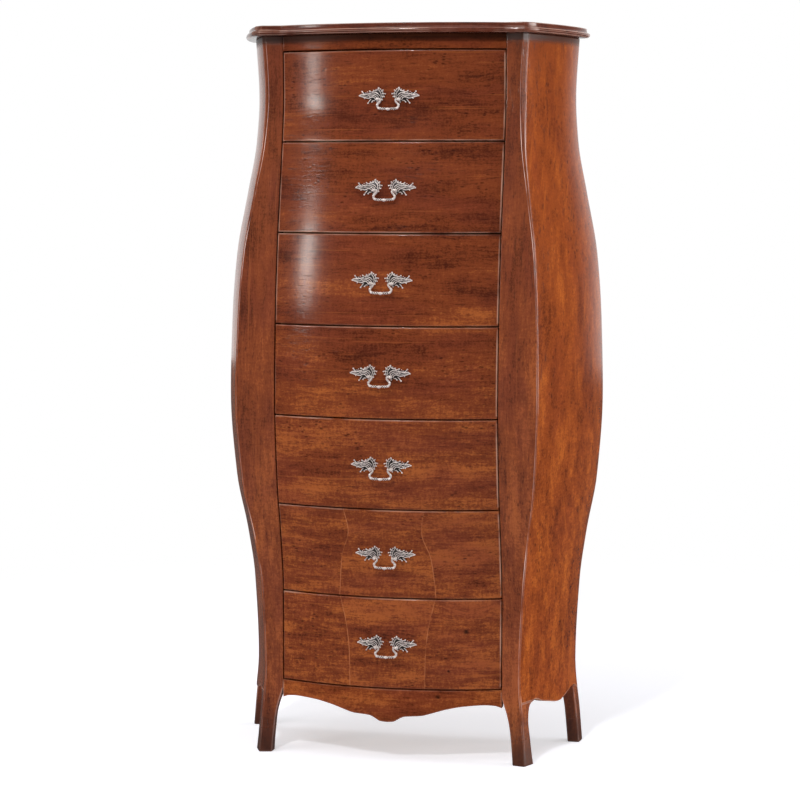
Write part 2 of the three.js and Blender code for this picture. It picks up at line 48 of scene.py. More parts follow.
print("stage: frame loaded")

# The body's section, in metres. Heights are shares of the body, swells are shares of their size.
body = {
    "height": 1.4,
    "topThickness": 0.019,
    "openingHalfWidth": 0.216,
    "drawerHalfWidth": 0.214,
    "neckHalfWidth": 0.2485,
    "bellySwell": 0.0405,
    "rearHalfWidth": 0.323,
    "rearSwell": 0.05,
    "neckDepth": 0.2245,
    "bellyForward": 0.056,
    "frontBow": 0.039,
    "cornerKeel": 0.005,
    "cornerCant": 0.009,
    "sideCurvePower": 1.5,
}
heightShares = [0, 0.043, 0.12, 0.233, 0.307, 0.386, 0.5, 0.614, 0.7, 0.786, 0.857, 0.918, 1]
sideSwellShares = [0.3, 0.2, 0, 0.14, 0.41, 0.8, 1, 0.92, 0.74, 0.31, -0.04, -0.14, -0.02]
forwardSwellShares = [0.15, 0.08, 0.05, 0.03, 0.3, 0.74, 1, 0.86, 0.62, 0.22, -0.12, -0.33, -0.28]
cantShares = [0.3, 0.3, 0.3, 0.3, 0.25, 0.25, 0.25, 0.25, 0.3, 0.5, 0.8, 1, 1]

drawerHalfWidth = body["drawerHalfWidth"]
bodyTop = body["height"] - body["topThickness"]
backPanelGap = 0.002
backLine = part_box("back_panel")[1].y + backPanelGap  # y of the carcass back


def smoothThrough(xs, ys):
    # a smooth curve through the stations that never runs past them
    xs, ys = np.asarray(xs, float), np.asarray(ys, float)
    slopes = np.diff(ys) / np.diff(xs)
    before, after = slopes[:-1], slopes[1:]
    isSteady = before * after > 0
    middle = np.where(isSteady, 2 * before * after / np.where(isSteady, before + after, 1), 0)
    tangents = np.concatenate([slopes[:1], middle, slopes[-1:]])

    def at(x):
        x = np.clip(np.asarray(x, float), xs[0], xs[-1])
        i = np.clip(np.searchsorted(xs, x, "right") - 1, 0, len(xs) - 2)
        span = xs[i + 1] - xs[i]
        t = (x - xs[i]) / span
        rise = ys[i] + (ys[i + 1] - ys[i]) * t * t * (3 - 2 * t)
        return rise + span * (t * (1 - t) ** 2 * tangents[i] + t * t * (t - 1) * tangents[i + 1])

    return at


stationHeights = np.array(heightShares) * bodyTop
sideSwell = smoothThrough(stationHeights, sideSwellShares)
forwardSwell = smoothThrough(stationHeights, forwardSwellShares)
cantShare = smoothThrough(stationHeights, cantShares)


# These give places in the carcass's own depth, where y = 0 is its back.
def frontAt(z):
    return -(body["neckDepth"] + body["bellyForward"] * forwardSwell(z))


def cornerX(z):
    return body["neckHalfWidth"] + body["bellySwell"] * sideSwell(z)


def cornerY(z):
    return frontAt(z) - body["cornerKeel"]


def cantAt(z):
    return body["cornerCant"] * cantShare(z)


def rearX(z):
    return body["rearHalfWidth"] + body["rearSwell"] * sideSwell(z)


def bowAt(x, halfWidth=drawerHalfWidth):
    t = np.minimum(np.abs(x) / halfWidth, 1)
    return body["frontBow"] * (1 - t * t)


def faceAt(x, z):
    # the face of rails and drawers, bellied in height and bowed in plan
    return frontAt(z) - bowAt(x)


def sideX(y, z):
    startX, startY = cornerX(z) + cantAt(z), cornerY(z) + cantAt(z)
    t = np.clip((y - startY) / -startY, 0, 1)
    return startX + (rearX(z) - startX) * (1 - (1 - t) ** body["sideCurvePower"])


def inFrame(x, y, z):
    # points of the carcass's own depth, moved to the frame's
    return np.stack(np.broadcast_arrays(x, y + backLine, z), axis=-1)


def between(low, high, share):
    return low + (high - low) * share


def unit(ways):
    return ways / np.linalg.norm(ways, axis=-1, keepdims=True)


# Turning arrays of points into closed meshes.
support = {"margin": 0.0028, "largestShare": 0.3, "between": 2}  # stations that hold the pale arris line narrow, a line of wear and painted highlight
samePlace = 1e-6


def spaced(low, high, count):
    # even stations with one more just inside each end
    margin = support["margin"] * np.sign(high - low)
    return np.concatenate([[low, low + margin], np.linspace(low, high, count)[1:-1], [high - margin, high]])


def inPairs(items):
    # each item with the next one, and the last with the first
    return list(zip(items, items[1:] + items[:1]))


def cornered(corners):
    # a closed outline with stations just beside each corner
    outline = []
    for (ax, ay), (bx, by) in inPairs(corners):
        near = min(support["margin"] / max(math.hypot(bx - ax, by - ay), samePlace), support["largestShare"])
        for share in [0, near, *np.linspace(near, 1 - near, support["between"] + 2)[1:-1], 1 - near]:
            outline.append((between(ax, bx, share), between(ay, by, share)))
    return outline


def meshFrom(name, points, faces, edges=()):
    mesh = bpy.data.meshes.new(name)
    mesh.from_pydata([tuple(p) for p in points], edges, faces)
    mesh.update()
    return mesh


def objectFrom(name, data):
    piece = bpy.data.objects.new(name, data)
    scene.collection.objects.link(piece)
    return piece


def pointOutward(mesh):
    work = bmesh.new()
    work.from_mesh(mesh)
    bmesh.ops.remove_doubles(work, verts=work.verts, dist=samePlace)
    bmesh.ops.recalc_face_normals(work, faces=work.faces)
    work.to_mesh(mesh)
    work.free()
    return mesh


def slab(name, outer, inner, weightBorder=True):
    # a closed body between two grids of points; the outer grid's border can take a bevel
    rows, columns = outer.shape[:2]
    count = rows * columns
    at = np.arange(count).reshape(rows, columns).tolist()
    faces = []
    for near, far in zip(at, at[1:]):
        for quad in zip(near, near[1:], far[1:], far):
            faces += [quad, [i + count for i in quad[::-1]]]
    border = inPairs(at[0] + [row[-1] for row in at[1:]] + at[-1][-2::-1] + [row[0] for row in at[-2:0:-1]])
    faces += [(b, a, a + count, b + count) for a, b in border]
    mesh = meshFrom(name, np.concatenate([outer.reshape(-1, 3), inner.reshape(-1, 3)]), faces)
    if weightBorder:
        edgeOf = {tuple(sorted(edge.vertices)): edge.index for edge in mesh.edges}
        weights = mesh.attributes.new("bevel_weight_edge", "FLOAT", "EDGE")
        for pair in border:
            weights.data[edgeOf[tuple(sorted(pair))]].value = 1
    return pointOutward(mesh)


def loft(name, rings):
    # a closed body through rings that have as many points each
    rings = np.asarray(rings)
    rows, count = rings.shape[:2]
    faces = []
    for low, high in zip(range(0, rows * count, count), range(count, rows * count, count)):
        faces += [(low + k, low + n, high + n, high + k) for k, n in inPairs(list(range(count)))]
    faces += [range(count)[::-1], range((rows - 1) * count, rows * count)]
    return pointOutward(meshFrom(name, rings.reshape(-1, 3), faces))


def prism(outline, axis, start, end):
    # points and faces of a straight block whose outline lies across the other two axes
    points = [[*point[:axis], level, *point[axis:]] for level in (start, end) for point in outline]
    count = len(outline)
    faces = [list(range(count)), list(range(count, 2 * count))[::-1]]
    faces += [[n, k, count + k, count + n] for k, n in inPairs(list(range(count)))]
    return points, faces


def flipped(mesh):
    # the same piece for the other side
    twin = mesh.copy()
    twin.transform(Matrix.Scale(-1, 4, (1, 0, 0)))
    twin.flip_normals()
    return twin


# Softened edges and cuts are modifiers, applied here one piece at a time.
edgeFinish = {"bevelSegments": 3, "sharpAngle": 34, "wornAndLitAngle": 12}
bevels = {"panel": 0.0016, "post": 0.0022, "front_apron": 0.0014, "frieze_rail": 0.0008, "top": 0.0008, "front": 0.0016}


def addCut(piece, cutterMesh):
    cutter = objectFrom("cutter", cutterMesh)
    boolean = piece.modifiers.new("cut", "BOOLEAN")
    boolean.operation = "DIFFERENCE"
    boolean.solver = "EXACT"
    boolean.object = cutter
    return cutter


def applied(piece, helpers=()):
    bpy.context.view_layer.update()
    evaluated = piece.evaluated_get(bpy.context.evaluated_depsgraph_get())
    mesh = bpy.data.meshes.new_from_object(evaluated)
    piece.modifiers.clear()
    piece.data = mesh
    for helper in helpers:
        bpy.data.objects.remove(helper)
    return mesh


def meshOf(piece, helpers=()):
    # the applied mesh alone; its object goes
    mesh = applied(piece, helpers)
    bpy.data.objects.remove(piece)
    return mesh


def markWearAndHighlight(mesh, keep):
    # 1 on the outward arrises, painted pale for handling wear and as a painted highlight, 0 on open faces; keep scales
    # it by place
    work = bmesh.new()
    work.from_mesh(mesh)
    worn = math.radians(edgeFinish["wornAndLitAngle"])
    wearAndHighlight = np.zeros(len(work.verts))
    for edge in work.edges:
        if len(edge.link_faces) == 2 and edge.calc_face_angle_signed(0) > worn:
            for vertex in edge.verts:
                wearAndHighlight[vertex.index] = keep(vertex.co)
    work.free()
    setValues(mesh, "wearAndHighlight", wearAndHighlight)


def setValues(mesh, name, values):
    mesh.attributes.new(name, "FLOAT", "POINT").data.foreach_set("value", np.asarray(values, np.float32))


def handOver(piece, material, sharpAngle, carrier, node):
    mesh = piece.data
    mesh.shade_smooth()
    mesh.set_sharp_from_angle(angle=math.radians(sharpAngle))
    mesh.materials.clear()
    mesh.materials.append(material)
    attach(piece, carrier)
    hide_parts(node)


def dressTimber(node, mesh, bevel, finish, keep, cutter=None, byWeight=True, carrier="carcass"):
    piece = objectFrom(f"{node}_dressed", mesh)
    softened = piece.modifiers.new("softened edges", "BEVEL")
    softened.width = bevels[bevel]
    softened.segments = edgeFinish["bevelSegments"]
    softened.limit_method = "WEIGHT" if byWeight else "ANGLE"
    softened.angle_limit = math.radians(edgeFinish["sharpAngle"])
    markWearAndHighlight(applied(piece, [addCut(piece, cutter)] if cutter else []), keep)
    handOver(piece, woods[finish], edgeFinish["sharpAngle"], carrier, node)


# Places and joins the nodes of one tree. A node given as a value stands for its first output.
class Wiring:
    def __init__(self, tree, family="ShaderNode"):
        self.tree, self.family = tree, family

    def place(self, kind, inputs=None, **settings):
        made = self.tree.nodes.new(kind if "Node" in kind else self.family + kind)
        for name, value in settings.items():
            setattr(made, name, value)
        for key, value in (inputs or {}).items():
            self.feed(made.inputs[key], value)
        return made

    def feed(self, socket, value):
        if isinstance(value, bpy.types.Node):
            value = value.outputs[0]
        if isinstance(value, bpy.types.NodeSocket):
            self.tree.links.new(value, socket)
        else:
            socket.default_value = value

    def math(self, operation, first, *others):
        for other in others:
            first = self.place("ShaderNodeMath", {0: first, 1: other}, operation=operation)
        return first

    def times(self, *values):
        return self.math("MULTIPLY", *values)

    def plus(self, *values):
        return self.math("ADD", *values)

    def minus(self, a, b):
        return self.math("SUBTRACT", a, b)

    def vector(self, operation, a, b):
        return self.place("VectorMath", {0: a, 1: b}, operation=operation)

    def noise(self, vector, stretch, detail, roughness=0.55):
        inputs = {"Vector": self.vector("MULTIPLY", vector, stretch), "Scale": 1.0}
        return self.place("TexNoise", {**inputs, "Detail": detail, "Roughness": roughness})

    def remap(self, value, low, high, toLow=0.0, toHigh=1.0):
        inputs = {"Value": value, "From Min": low, "From Max": high, "To Min": toLow, "To Max": toHigh}
        return self.place("MapRange", inputs, interpolation_type="SMOOTHSTEP")

    def patches(self, vector, stretch, detail, roughness, *levels):
        return self.remap(self.noise(vector, stretch, detail, roughness), *levels)

    def mix(self, share, a, b):
        return self.place("Mix", {0: share, 6: a, 7: b}, data_type="RGBA").outputs[2]

    def mixShaders(self, share, a, b):
        return self.place("MixShader", {0: share, 1: a, 2: b})

    def attribute(self, name):
        return self.place("Attribute", attribute_name=name).outputs["Fac"]

    def group(self, tree, inputs):
        return self.place("Group", inputs, node_tree=tree)

    def done(self, values):
        # joins a group's outputs
        self.place("NodeGroupOutput", values)
        return self.tree


def newGroup(name, inputs, outputs, family="Shader"):
    group = bpy.data.node_groups.new(name, family + "NodeTree")
    for way, labels in (("INPUT", inputs), ("OUTPUT", outputs)):
        for label, kind in labels.items():
            group.interface.new_socket(label, in_out=way, socket_type="NodeSocket" + kind)
    return Wiring(group, family + "Node"), group.nodes.new("NodeGroupInput").outputs


def emptyTree(owner):
    # the tree of a new material or world
    owner.use_nodes = True
    owner.node_tree.nodes.clear()
    return Wiring(owner.node_tree)


def linear(red, green, blue):
    # a display colour in bytes, as linear light
    channels = []
    for c in (red, green, blue):
        c = c / 255
        channels.append(c / 12.92 if c <= 0.04045 else ((c + 0.055) / 1.055) ** 2.4)
    return (*channels, 1.0)


# Layers of the wood's figure: stretch per metre along, through and across the grain, detail and weight.
figureLayers = {
    "patches": ((5.5, 17, 17), 2, 1.15),
    "bands": ((3.5, 6, 30), 3, 0.7),
    "streaks": ((11, 15, 95), 3, 0.65),
    "lines": ((32, 45, 240), 3, 0.85),
    "ripple": ((190, 90, 60), 2, 0.5),
    "speckle": ((260, 260, 420), 1, 0.7),
}
figureTones = {"roughness": 0.6, "darkToMiddle": (0.08, 0.52), "middleToLight": (0.48, 0.95)}
# Marks on it: stretch, detail and roughness of their noise, then the levels between which they fade in.
figureMarks = {
    "redness": ((5, 15, 18), 2, 0.55, 0.42, 0.68),
    "dashes": ((30, 60, 330), 2, 0.6, 0.59, 0.72),
    "scratches": ((4, 9, 260), 1, 0.5, 0.66, 0.74),
    "flecks": ((8, 8, 15), 2, 0.55, 0.44, 0.66),
}
markAmounts = {"redness": 0.6, "dashes": 0.42, "scratches": 0.3, "spots": 0.85, "deepening": 0.75}
deepTone = (0.004, 0.001, 0.001, 1)
sway = {"stretch": (3.5, 4, 9), "detail": 2, "reach": 0.022}
knots = {"cells": (5.5, 5, 11), "picked": (0.55, 0.62), "parting": (0.0, 0.42), "lift": 0.016, "eye": (0.03, 0.13)}
flecks = {"cells": (90, 120, 210), "picked": (0.6, 0.8), "edge": (0.12, 0.5)}
relief = {"streaks": 2.2, "waves": 0.5, "dashes": 0.6, "dullness": 0.5}


# Wood figure with its grain along the vector's x: bands, streaks, dashes, scratches, flecks and small knots.
def buildWoodFigure():
    inputs = {"Vector": "Vector", **{f"{tone} Tone": "Color" for tone in ("Dark", "Middle", "Light", "Red")}}
    inputs.update({name: "Float" for name in ("Contrast", "Lift", "Fleck Amount", "Knot Amount")})
    tree, given = newGroup("woodFigure", inputs, {"Color": "Color", "Height": "Float", "Dullness": "Float"})

    def mark(name, vector):
        return tree.times(tree.patches(vector, *figureMarks[name]), markAmounts.get(name, 1.0))

    def cells(vector, stretch):
        # each cell's random values, and the distance from its middle
        stretched = tree.vector("MULTIPLY", vector, stretch)
        cell = tree.place("TexVoronoi", {"Vector": stretched, "Scale": 1.0}).outputs
        return tree.place("SeparateColor", {0: cell["Color"]}).outputs, cell["Distance"]

    # knots: the grain lines part round a small dark eye
    grain, dark = given["Vector"], given["Dark Tone"]
    chance, fromKnot = cells(grain, knots["cells"])
    chosen = tree.times(tree.remap(chance[0], *knots["picked"]), given["Knot Amount"])
    parting = tree.times(tree.remap(fromKnot, *knots["parting"], 1.0, 0.0), chosen, knots["lift"])
    swaying = tree.times(tree.minus(tree.noise(grain, sway["stretch"], sway["detail"]), 0.5), sway["reach"])
    wavy = tree.vector("ADD", grain, tree.place("CombineXYZ", {"Z": tree.plus(parting, swaying)}))
    # the layers add up to one tone
    noises, shares = {}, []
    for name, (stretch, detail, weight) in figureLayers.items():
        noises[name] = tree.noise(wavy, stretch, detail, figureTones["roughness"])
        shares.append(tree.times(tree.minus(noises[name], 0.5), weight))
    tone = tree.plus(tree.times(tree.plus(*shares), given["Contrast"]), 0.5, given["Lift"])
    colour = tree.mix(tree.remap(tone, *figureTones["darkToMiddle"]), dark, given["Middle Tone"])
    colour = tree.mix(tree.remap(tone, *figureTones["middleToLight"]), colour, given["Light Tone"])
    colour = tree.mix(mark("redness", wavy), colour, tree.mix(tone, dark, given["Red Tone"]))
    # short dark dashes and long pale scratches along the grain
    deep = tree.mix(markAmounts["deepening"], dark, deepTone)
    dashes = tree.patches(wavy, *figureMarks["dashes"])
    colour = tree.mix(tree.times(dashes, markAmounts["dashes"]), colour, deep)
    colour = tree.mix(mark("scratches", grain), colour, given["Light Tone"])
    # small dark flecks in clusters, and the knots' eyes
    chance, fromFleck = cells(wavy, flecks["cells"])
    fleck = tree.times(tree.remap(chance[1], *flecks["picked"]), mark("flecks", grain))
    fleck = tree.times(fleck, tree.remap(fromFleck, *flecks["edge"], 1.0, 0.0), given["Fleck Amount"])
    eye = tree.times(tree.remap(fromKnot, *knots["eye"], 1.0, 0.0), chosen)
    for spot in (fleck, eye):
        colour = tree.mix(tree.times(spot, markAmounts["spots"]), colour, deep)
    dips = tree.plus(tree.times(dashes, relief["dashes"]), fleck)
    waves = tree.plus(noises["lines"], tree.times(noises["streaks"], relief["streaks"]))
    height = tree.minus(tree.times(waves, relief["waves"]), dips)
    dullness = tree.times(tree.plus(dashes, noises["patches"]), relief["dullness"])
    return tree.done({"Color": colour, "Height": height, "Dullness": dullness})


wearAndHighlightBreaks = ((14, 14, 14), 3, 0.55, 0.3, 0.62)  # in the same order as the marks


# Arrises painted pale, partly as handling wear and partly as a painted highlight, broken up along their length.
def buildWornAndLitArris():
    inputs = {"Color": "Color", "Wear And Highlight": "Float", "Vector": "Vector", "Worn And Lit Tone": "Color", "Amount": "Float"}
    tree, given = newGroup("wornAndLitArris", inputs, {"Color": "Color"})
    mask = tree.times(tree.patches(given["Vector"], *wearAndHighlightBreaks), given["Amount"], given["Wear And Highlight"])
    return tree.done({"Color": tree.mix(mask, given["Color"], given["Worn And Lit Tone"])})


# Painted shade under the top board's overhang, and a darkening towards the floor: their depths, amounts and tone.
shadeUnderTopAndFootDark = {
    "topDepth": 0.021, "footHeight": 0.13, "topAmount": 0.93, "footAmount": 0.82,
    "dullness": 0.2, "topFade": (0.3, 1.0), "strength": 0.85, "tone": (0.016, 0.004, 0.001, 1),
}


# Painted shade darkens the wood just under the top board, where its overhang would cast shade, and the wood is darkened
# towards the floor.
def buildShadeUnderTopAndFootDark():
    inputs = {"Color": "Color", "Vector": "Vector"}
    inputs.update({f"Top {name}": "Float" for name in ("Height", "Depth", "Amount")})
    inputs.update({f"Foot {name}": "Float" for name in ("Height", "Amount")})
    tree, given = newGroup("shadeUnderTopAndFootDarkGroup", inputs, {"Color": "Color", "Mask": "Float"})
    height = tree.place("SeparateXYZ", {0: given["Vector"]}).outputs["Z"]
    below = tree.math("DIVIDE", tree.minus(given["Top Height"], height), given["Top Depth"])
    top = tree.times(tree.remap(below, *shadeUnderTopAndFootDark["topFade"], 1.0, 0.0), given["Top Amount"])
    rise = tree.math("DIVIDE", height, given["Foot Height"])
    foot = tree.times(tree.remap(rise, 0.0, 1.0, 1.0, 0.0), given["Foot Amount"])
    mask = tree.math("MAXIMUM", top, foot)
    shadedAndDarkened = tree.mix(shadeUnderTopAndFootDark["strength"], given["Color"], shadeUnderTopAndFootDark["tone"])
    return tree.done({"Color": tree.mix(mask, given["Color"], shadedAndDarkened), "Mask": mask})


woodFigure, wornAndLitArris, shadeUnderTopAndFootDarkGroup = buildWoodFigure(), buildWornAndLitArris(), buildShadeUnderTopAndFootDark()

# Finishes of the cherry pieces; the grain runs along the axis named. The worn tone and amount paint the arrises pale,
# partly as wear and partly as a painted highlight.
woodFinishes = {
    "drawerFrontCherry": {
        "grainAxis": "x", "shift": (0, 0, 0), "contrast": 1.0, "flecks": 0.8, "knots": 0.8, "wornAndLitAmount": 0.42,
        "dark": (72, 28, 13), "middle": (122, 57, 28), "light": (170, 92, 42), "red": (136, 62, 40),
        "worn": (216, 166, 140), "placedKnots": [(0.15, 0.2571, 0.0075, 0.007), (0.118, 0.181, 0.0045, 0.0035)],
    },
    "railCherry": {
        "grainAxis": "x", "shift": (0.3, 0, 0.2), "contrast": 0.9, "flecks": 0.6, "knots": 0.5, "wornAndLitAmount": 0.5,
        "dark": (74, 31, 14), "middle": (126, 60, 30), "light": (170, 92, 44), "red": (140, 64, 42),
        "worn": (206, 160, 134), "specular": 0.1, "placedKnots": [(0.0983, 0.1315, 0.008, 0.0065)],
    },
    # the posts' near-white worn tone paints both wear and a painted highlight along their arrises
    "postCherry": {
        "grainAxis": "z", "shift": (0, 0.4, 0.1), "contrast": 0.9, "flecks": 0.6, "knots": 0.3, "wornAndLitAmount": 1.0,
        "dark": (78, 33, 15), "middle": (131, 63, 31), "light": (172, 91, 44), "red": (144, 68, 44),
        "worn": (255, 216, 200), "specular": 0.8,
    },
    "sideCherry": {
        "grainAxis": "z", "shift": (0.7, 0, 0), "contrast": 1.05, "flecks": 0.8, "knots": 0.3, "wornAndLitAmount": 0.6,
        "dark": (96, 39, 11), "middle": (143, 66, 22), "light": (184, 95, 32), "red": (156, 70, 32),
        "worn": (216, 168, 140), "lift": (0.04, 0.0), "specular": 0.32,
    },
    "topCherry": {
        "grainAxis": "x", "shift": (0, 0.1, 0.6), "contrast": 0.8, "flecks": 0.5, "knots": 0.2, "wornAndLitAmount": 0.5,
        "dark": (62, 27, 18), "middle": (104, 52, 36), "light": (142, 80, 56), "red": (112, 52, 42),
        "worn": (214, 172, 152), "topShadeAmount": 0.0,
    },
}
# Thin pale joints where the middle veneer of the lowest fronts meets its wings.
veneerJoint = {
    "width": 0.0012, "core": 0.4, "amount": 0.5, "tone": (206, 128, 78), "shift": (0.37, 0, 0.21),
    "level": 1.0, "step": 0.0002,  # the veneer attribute on a joint, and how fast the figure changes there
    "breaks": ((22, 22, 34), 2, 0.55, 0.36, 0.6, 0.25, 1.0),
}
veneerLines = {  # height above the floor, then half the width of the middle veneer there
    6: ((0.31, 0.396, 0.45, 0.5), (0.095, 0.087, 0.071, 0.08)),
    7: ((0.13, 0.2, 0.25, 0.34), (0.073, 0.074, 0.078, 0.098)),
}
placedKnot = {"stretch": (260, 260, 320), "detail": 3, "fade": (0.6, 1.5, 0.85, 0.0), "tone": (0.012, 0.004, 0.002, 1)}
grainTurns = {"x": (0, 0, 0), "z": (0, math.radians(90), 0), "y": (0, 0, math.radians(90))}
polish = {"roughness": 0.15, "dullRise": 0.08, "bump": 0.00009, "specular": 0.4}
calmFigure = {"heights": (0.3, 1.25), "share": 0.6, "lift": (0.13, -0.11)}  # the upper part is quieter and darker


def woodMaterial(name, finish):
    material = bpy.data.materials.new(name)
    tree = emptyTree(material)
    where = tree.place("TexCoord").outputs["Object"]
    # the lowest fronts' middle veneer is cut from another place in the figure
    veneer, level = tree.attribute("veneer"), veneerJoint["level"]
    inputs = {0: veneerJoint["shift"], "Scale": tree.remap(veneer, level, level + veneerJoint["step"])}
    moved = tree.vector("ADD", where, tree.place("VectorMath", inputs, operation="SCALE"))
    inputs = {"Vector": moved, "Rotation": grainTurns[finish["grainAxis"]], "Location": finish["shift"]}
    turned = tree.place("Mapping", inputs)
    height = tree.place("SeparateXYZ", {0: where}).outputs["Z"]
    contrast, lift = finish["contrast"], finish.get("lift", calmFigure["lift"])
    figure = tree.group(woodFigure, {
        "Vector": turned,
        "Contrast": tree.remap(height, *calmFigure["heights"], contrast, contrast * calmFigure["share"]),
        "Lift": tree.remap(height, *calmFigure["heights"], *lift),
        "Fleck Amount": finish["flecks"],
        "Knot Amount": finish["knots"],
        **{f"{tone.title()} Tone": linear(*finish[tone]) for tone in ("dark", "middle", "light", "red")},
    }).outputs
    apart = tree.place("Math", {0: tree.minus(veneer, level)}, operation="ABSOLUTE")
    width = veneerJoint["width"]
    seam = tree.remap(apart, width * veneerJoint["core"], width, veneerJoint["amount"], 0.0)
    seam = tree.times(seam, tree.patches(where, *veneerJoint["breaks"]))
    colour = tree.mix(seam, figure["Color"], linear(*veneerJoint["tone"]))
    for x, z, halfWidth, halfHeight in finish.get("placedKnots", ()):
        flat = tree.vector("MULTIPLY", tree.vector("SUBTRACT", where, (x, 0, z)), (1 / halfWidth, 0, 1 / halfHeight))
        away = tree.place("VectorMath", {0: flat}, operation="LENGTH").outputs["Value"]
        away = tree.plus(away, tree.noise(where, placedKnot["stretch"], placedKnot["detail"]))
        colour = tree.mix(tree.remap(away, *placedKnot["fade"]), colour, placedKnot["tone"])
    # pale arrises: partly wear, partly a painted highlight
    arris = tree.group(wornAndLitArris, {
        "Color": colour,
        "Wear And Highlight": tree.attribute("wearAndHighlight"),
        "Vector": where,
        "Worn And Lit Tone": linear(*finish["worn"]),
        "Amount": finish["wornAndLitAmount"],
    })
    # painted shade under the top board, and darker towards the floor
    shadedAndDarkened = tree.group(shadeUnderTopAndFootDarkGroup, {
        "Color": arris,
        "Vector": where,
        "Top Height": bodyTop,
        "Top Depth": shadeUnderTopAndFootDark["topDepth"],
        "Top Amount": finish.get("topShadeAmount", shadeUnderTopAndFootDark["topAmount"]),
        "Foot Height": shadeUnderTopAndFootDark["footHeight"],
        "Foot Amount": shadeUnderTopAndFootDark["footAmount"],
    }).outputs
    rough = tree.remap(figure["Dullness"], 0.0, 1.0, polish["roughness"], polish["roughness"] + polish["dullRise"])
    tree.place("OutputMaterial", {"Surface": tree.place("BsdfPrincipled", {
        "Base Color": shadedAndDarkened["Color"],
        "Roughness": tree.plus(rough, tree.times(shadedAndDarkened["Mask"], shadeUnderTopAndFootDark["dullness"])),
        "Normal": tree.place("Bump", {"Height": figure["Height"], "Distance": polish["bump"]}),
        "Specular IOR Level": finish.get("specular", polish["specular"]),
    })})
    return material


woods = {name: woodMaterial(name, finish) for name, finish in woodFinishes.items()}
print("stage: wood finishes made")

# Carcass sizes that the pieces share.
carcass = {
    "panelThickness": 0.012,
    "postDepth": 0.05,
    "rearPostWidth": 0.03,
    "rearPostDepth": 0.032,
    "footWidth": 0.0225,
    "rearFootWidth": 0.026,
    "footDepth": 0.027,
    "legTaperHeight": 0.128,
    "railThickness": 0.018,
    "panelBottom": 0.0999,
    "panelCutRise": 0.0205,
    "fit": 0.0003,
    "overrun": 0.006,
    "lowestDrawer": 0.1446,
    "drawerGap": 0.0026,
    "centreDrop": 0.065,
    "levels": 72,
    "columns": 26,
    "legLevels": 33,
    "postColumns": 4,
    "railColumns": 121,
    "apronLevels": 14,
    "friezeLevels": 8,
}
fit, overrun, legTop = carcass["fit"], carcass["overrun"], carcass["legTaperHeight"]
lowestDrawer, drawerGap = carcass["lowestDrawer"], carcass["drawerGap"]
legTaperShares = [0, 0.2, 0.37, 0.6, 0.76, 0.86, 0.91, 0.94, 0.97, 1]
legWidthShares = [0, 0.02, 0.06, 0.16, 0.36, 0.6, 0.74, 0.83, 0.92, 1]
legDepthShares = [0, -0.16, -0.24, -0.33, -0.2, 0.02, 0.3, 0.87, 1, 1]
panelLengthShares = [0, 0.16, 0.2, 0.29, 0.4, 0.52, 0.58, 0.63, 0.74, 0.82, 0.89, 0.95, 1]
panelRiseShares = [0.95, 0.95, 1, 0.61, 0.32, 0.03, 0, 0.15, 0.49, 0.75, 0.8, 0.55, 0.35]
apronWidthShares = [0, 0.06, 0.1, 0.16, 0.31, 0.38, 0.45, 0.54, 0.68, 0.85, 0.94, 1]
apronDropShares = [1, 0.98, 0.91, 0.82, 0.78, 0.72, 0.65, 0.57, 0.49, 0.455, 0.48, 0.55]

legTaperHeights = np.array(legTaperShares) * legTop
legWidening = smoothThrough(legTaperHeights, legWidthShares)
legDeepening = smoothThrough(legTaperHeights, legDepthShares)
panelEdge = smoothThrough(panelLengthShares, panelRiseShares)
apronEdge = smoothThrough(apronWidthShares, apronDropShares)


def sidePanel(grow):
    shares = spaced(0, body["neckDepth"], carcass["columns"])[None, :] / body["neckDepth"]
    low = carcass["panelBottom"] + carcass["panelCutRise"] * panelEdge(shares) - grow
    high = bodyTop - fit + (overrun if grow else 0)
    z = between(low, high, spaced(0, bodyTop, carcass["levels"])[:, None] / bodyTop)
    y = (cornerY(z) + cantAt(z)) * (1 - shares)
    x = sideX(y, z)
    if grow:
        y[:, 0] -= grow
        y[:, -1] += overrun
    outer = inFrame(x + (overrun if grow else 0), y, z)
    inner = inFrame(x - carcass["panelThickness"] - grow, y, z)
    return slab("side panel", outer, inner, weightBorder=not grow)


# Where the posts and the side panels turn pale along their arrises, by height: partly wear from hands and cloths,
# partly a painted highlight where lamps catch the arrises.
postWearAndHighlight = {
    "inner": 0.0, "bare": 0.3, "foot": 0.35, "rear": 0.3, "innerReach": 0.005, "rearReach": 0.004,
    "spans": ((0.3, 0.53), (0.9, 1.27)), "spanAmount": 1.0, "spanFade": 12,
}
panelWearAndHighlight = {"edge": 1.0, "bare": 0.1, "reach": 0.006}


def postKeep(place):
    if abs(place.x) < body["openingHalfWidth"] + postWearAndHighlight["innerReach"] and place.z > legTop:
        return postWearAndHighlight["inner"]
    if place.z < legTop:
        return postWearAndHighlight["foot"]
    if place.y > backLine - carcass["rearPostDepth"] - postWearAndHighlight["rearReach"]:
        return postWearAndHighlight["rear"]
    for low, high in postWearAndHighlight["spans"]:
        if low < place.z < high:
            return postWearAndHighlight["spanAmount"] * min(1, postWearAndHighlight["spanFade"] * min(place.z - low, high - place.z))
    return postWearAndHighlight["bare"]


def panelKeep(place):
    edge = carcass["panelBottom"] + carcass["panelCutRise"] + panelWearAndHighlight["reach"]
    return panelWearAndHighlight["edge"] if place.z < edge else panelWearAndHighlight["bare"]


def postFrom(name, ringAt):
    feet = np.linspace(0, legTop, carcass["legLevels"])
    levels = [*feet[:-1], *np.linspace(legTop, bodyTop - fit, carcass["levels"])]
    return loft(name, [[inFrame(x, y, z) for x, y in cornered(ringAt(z))] for z in levels])


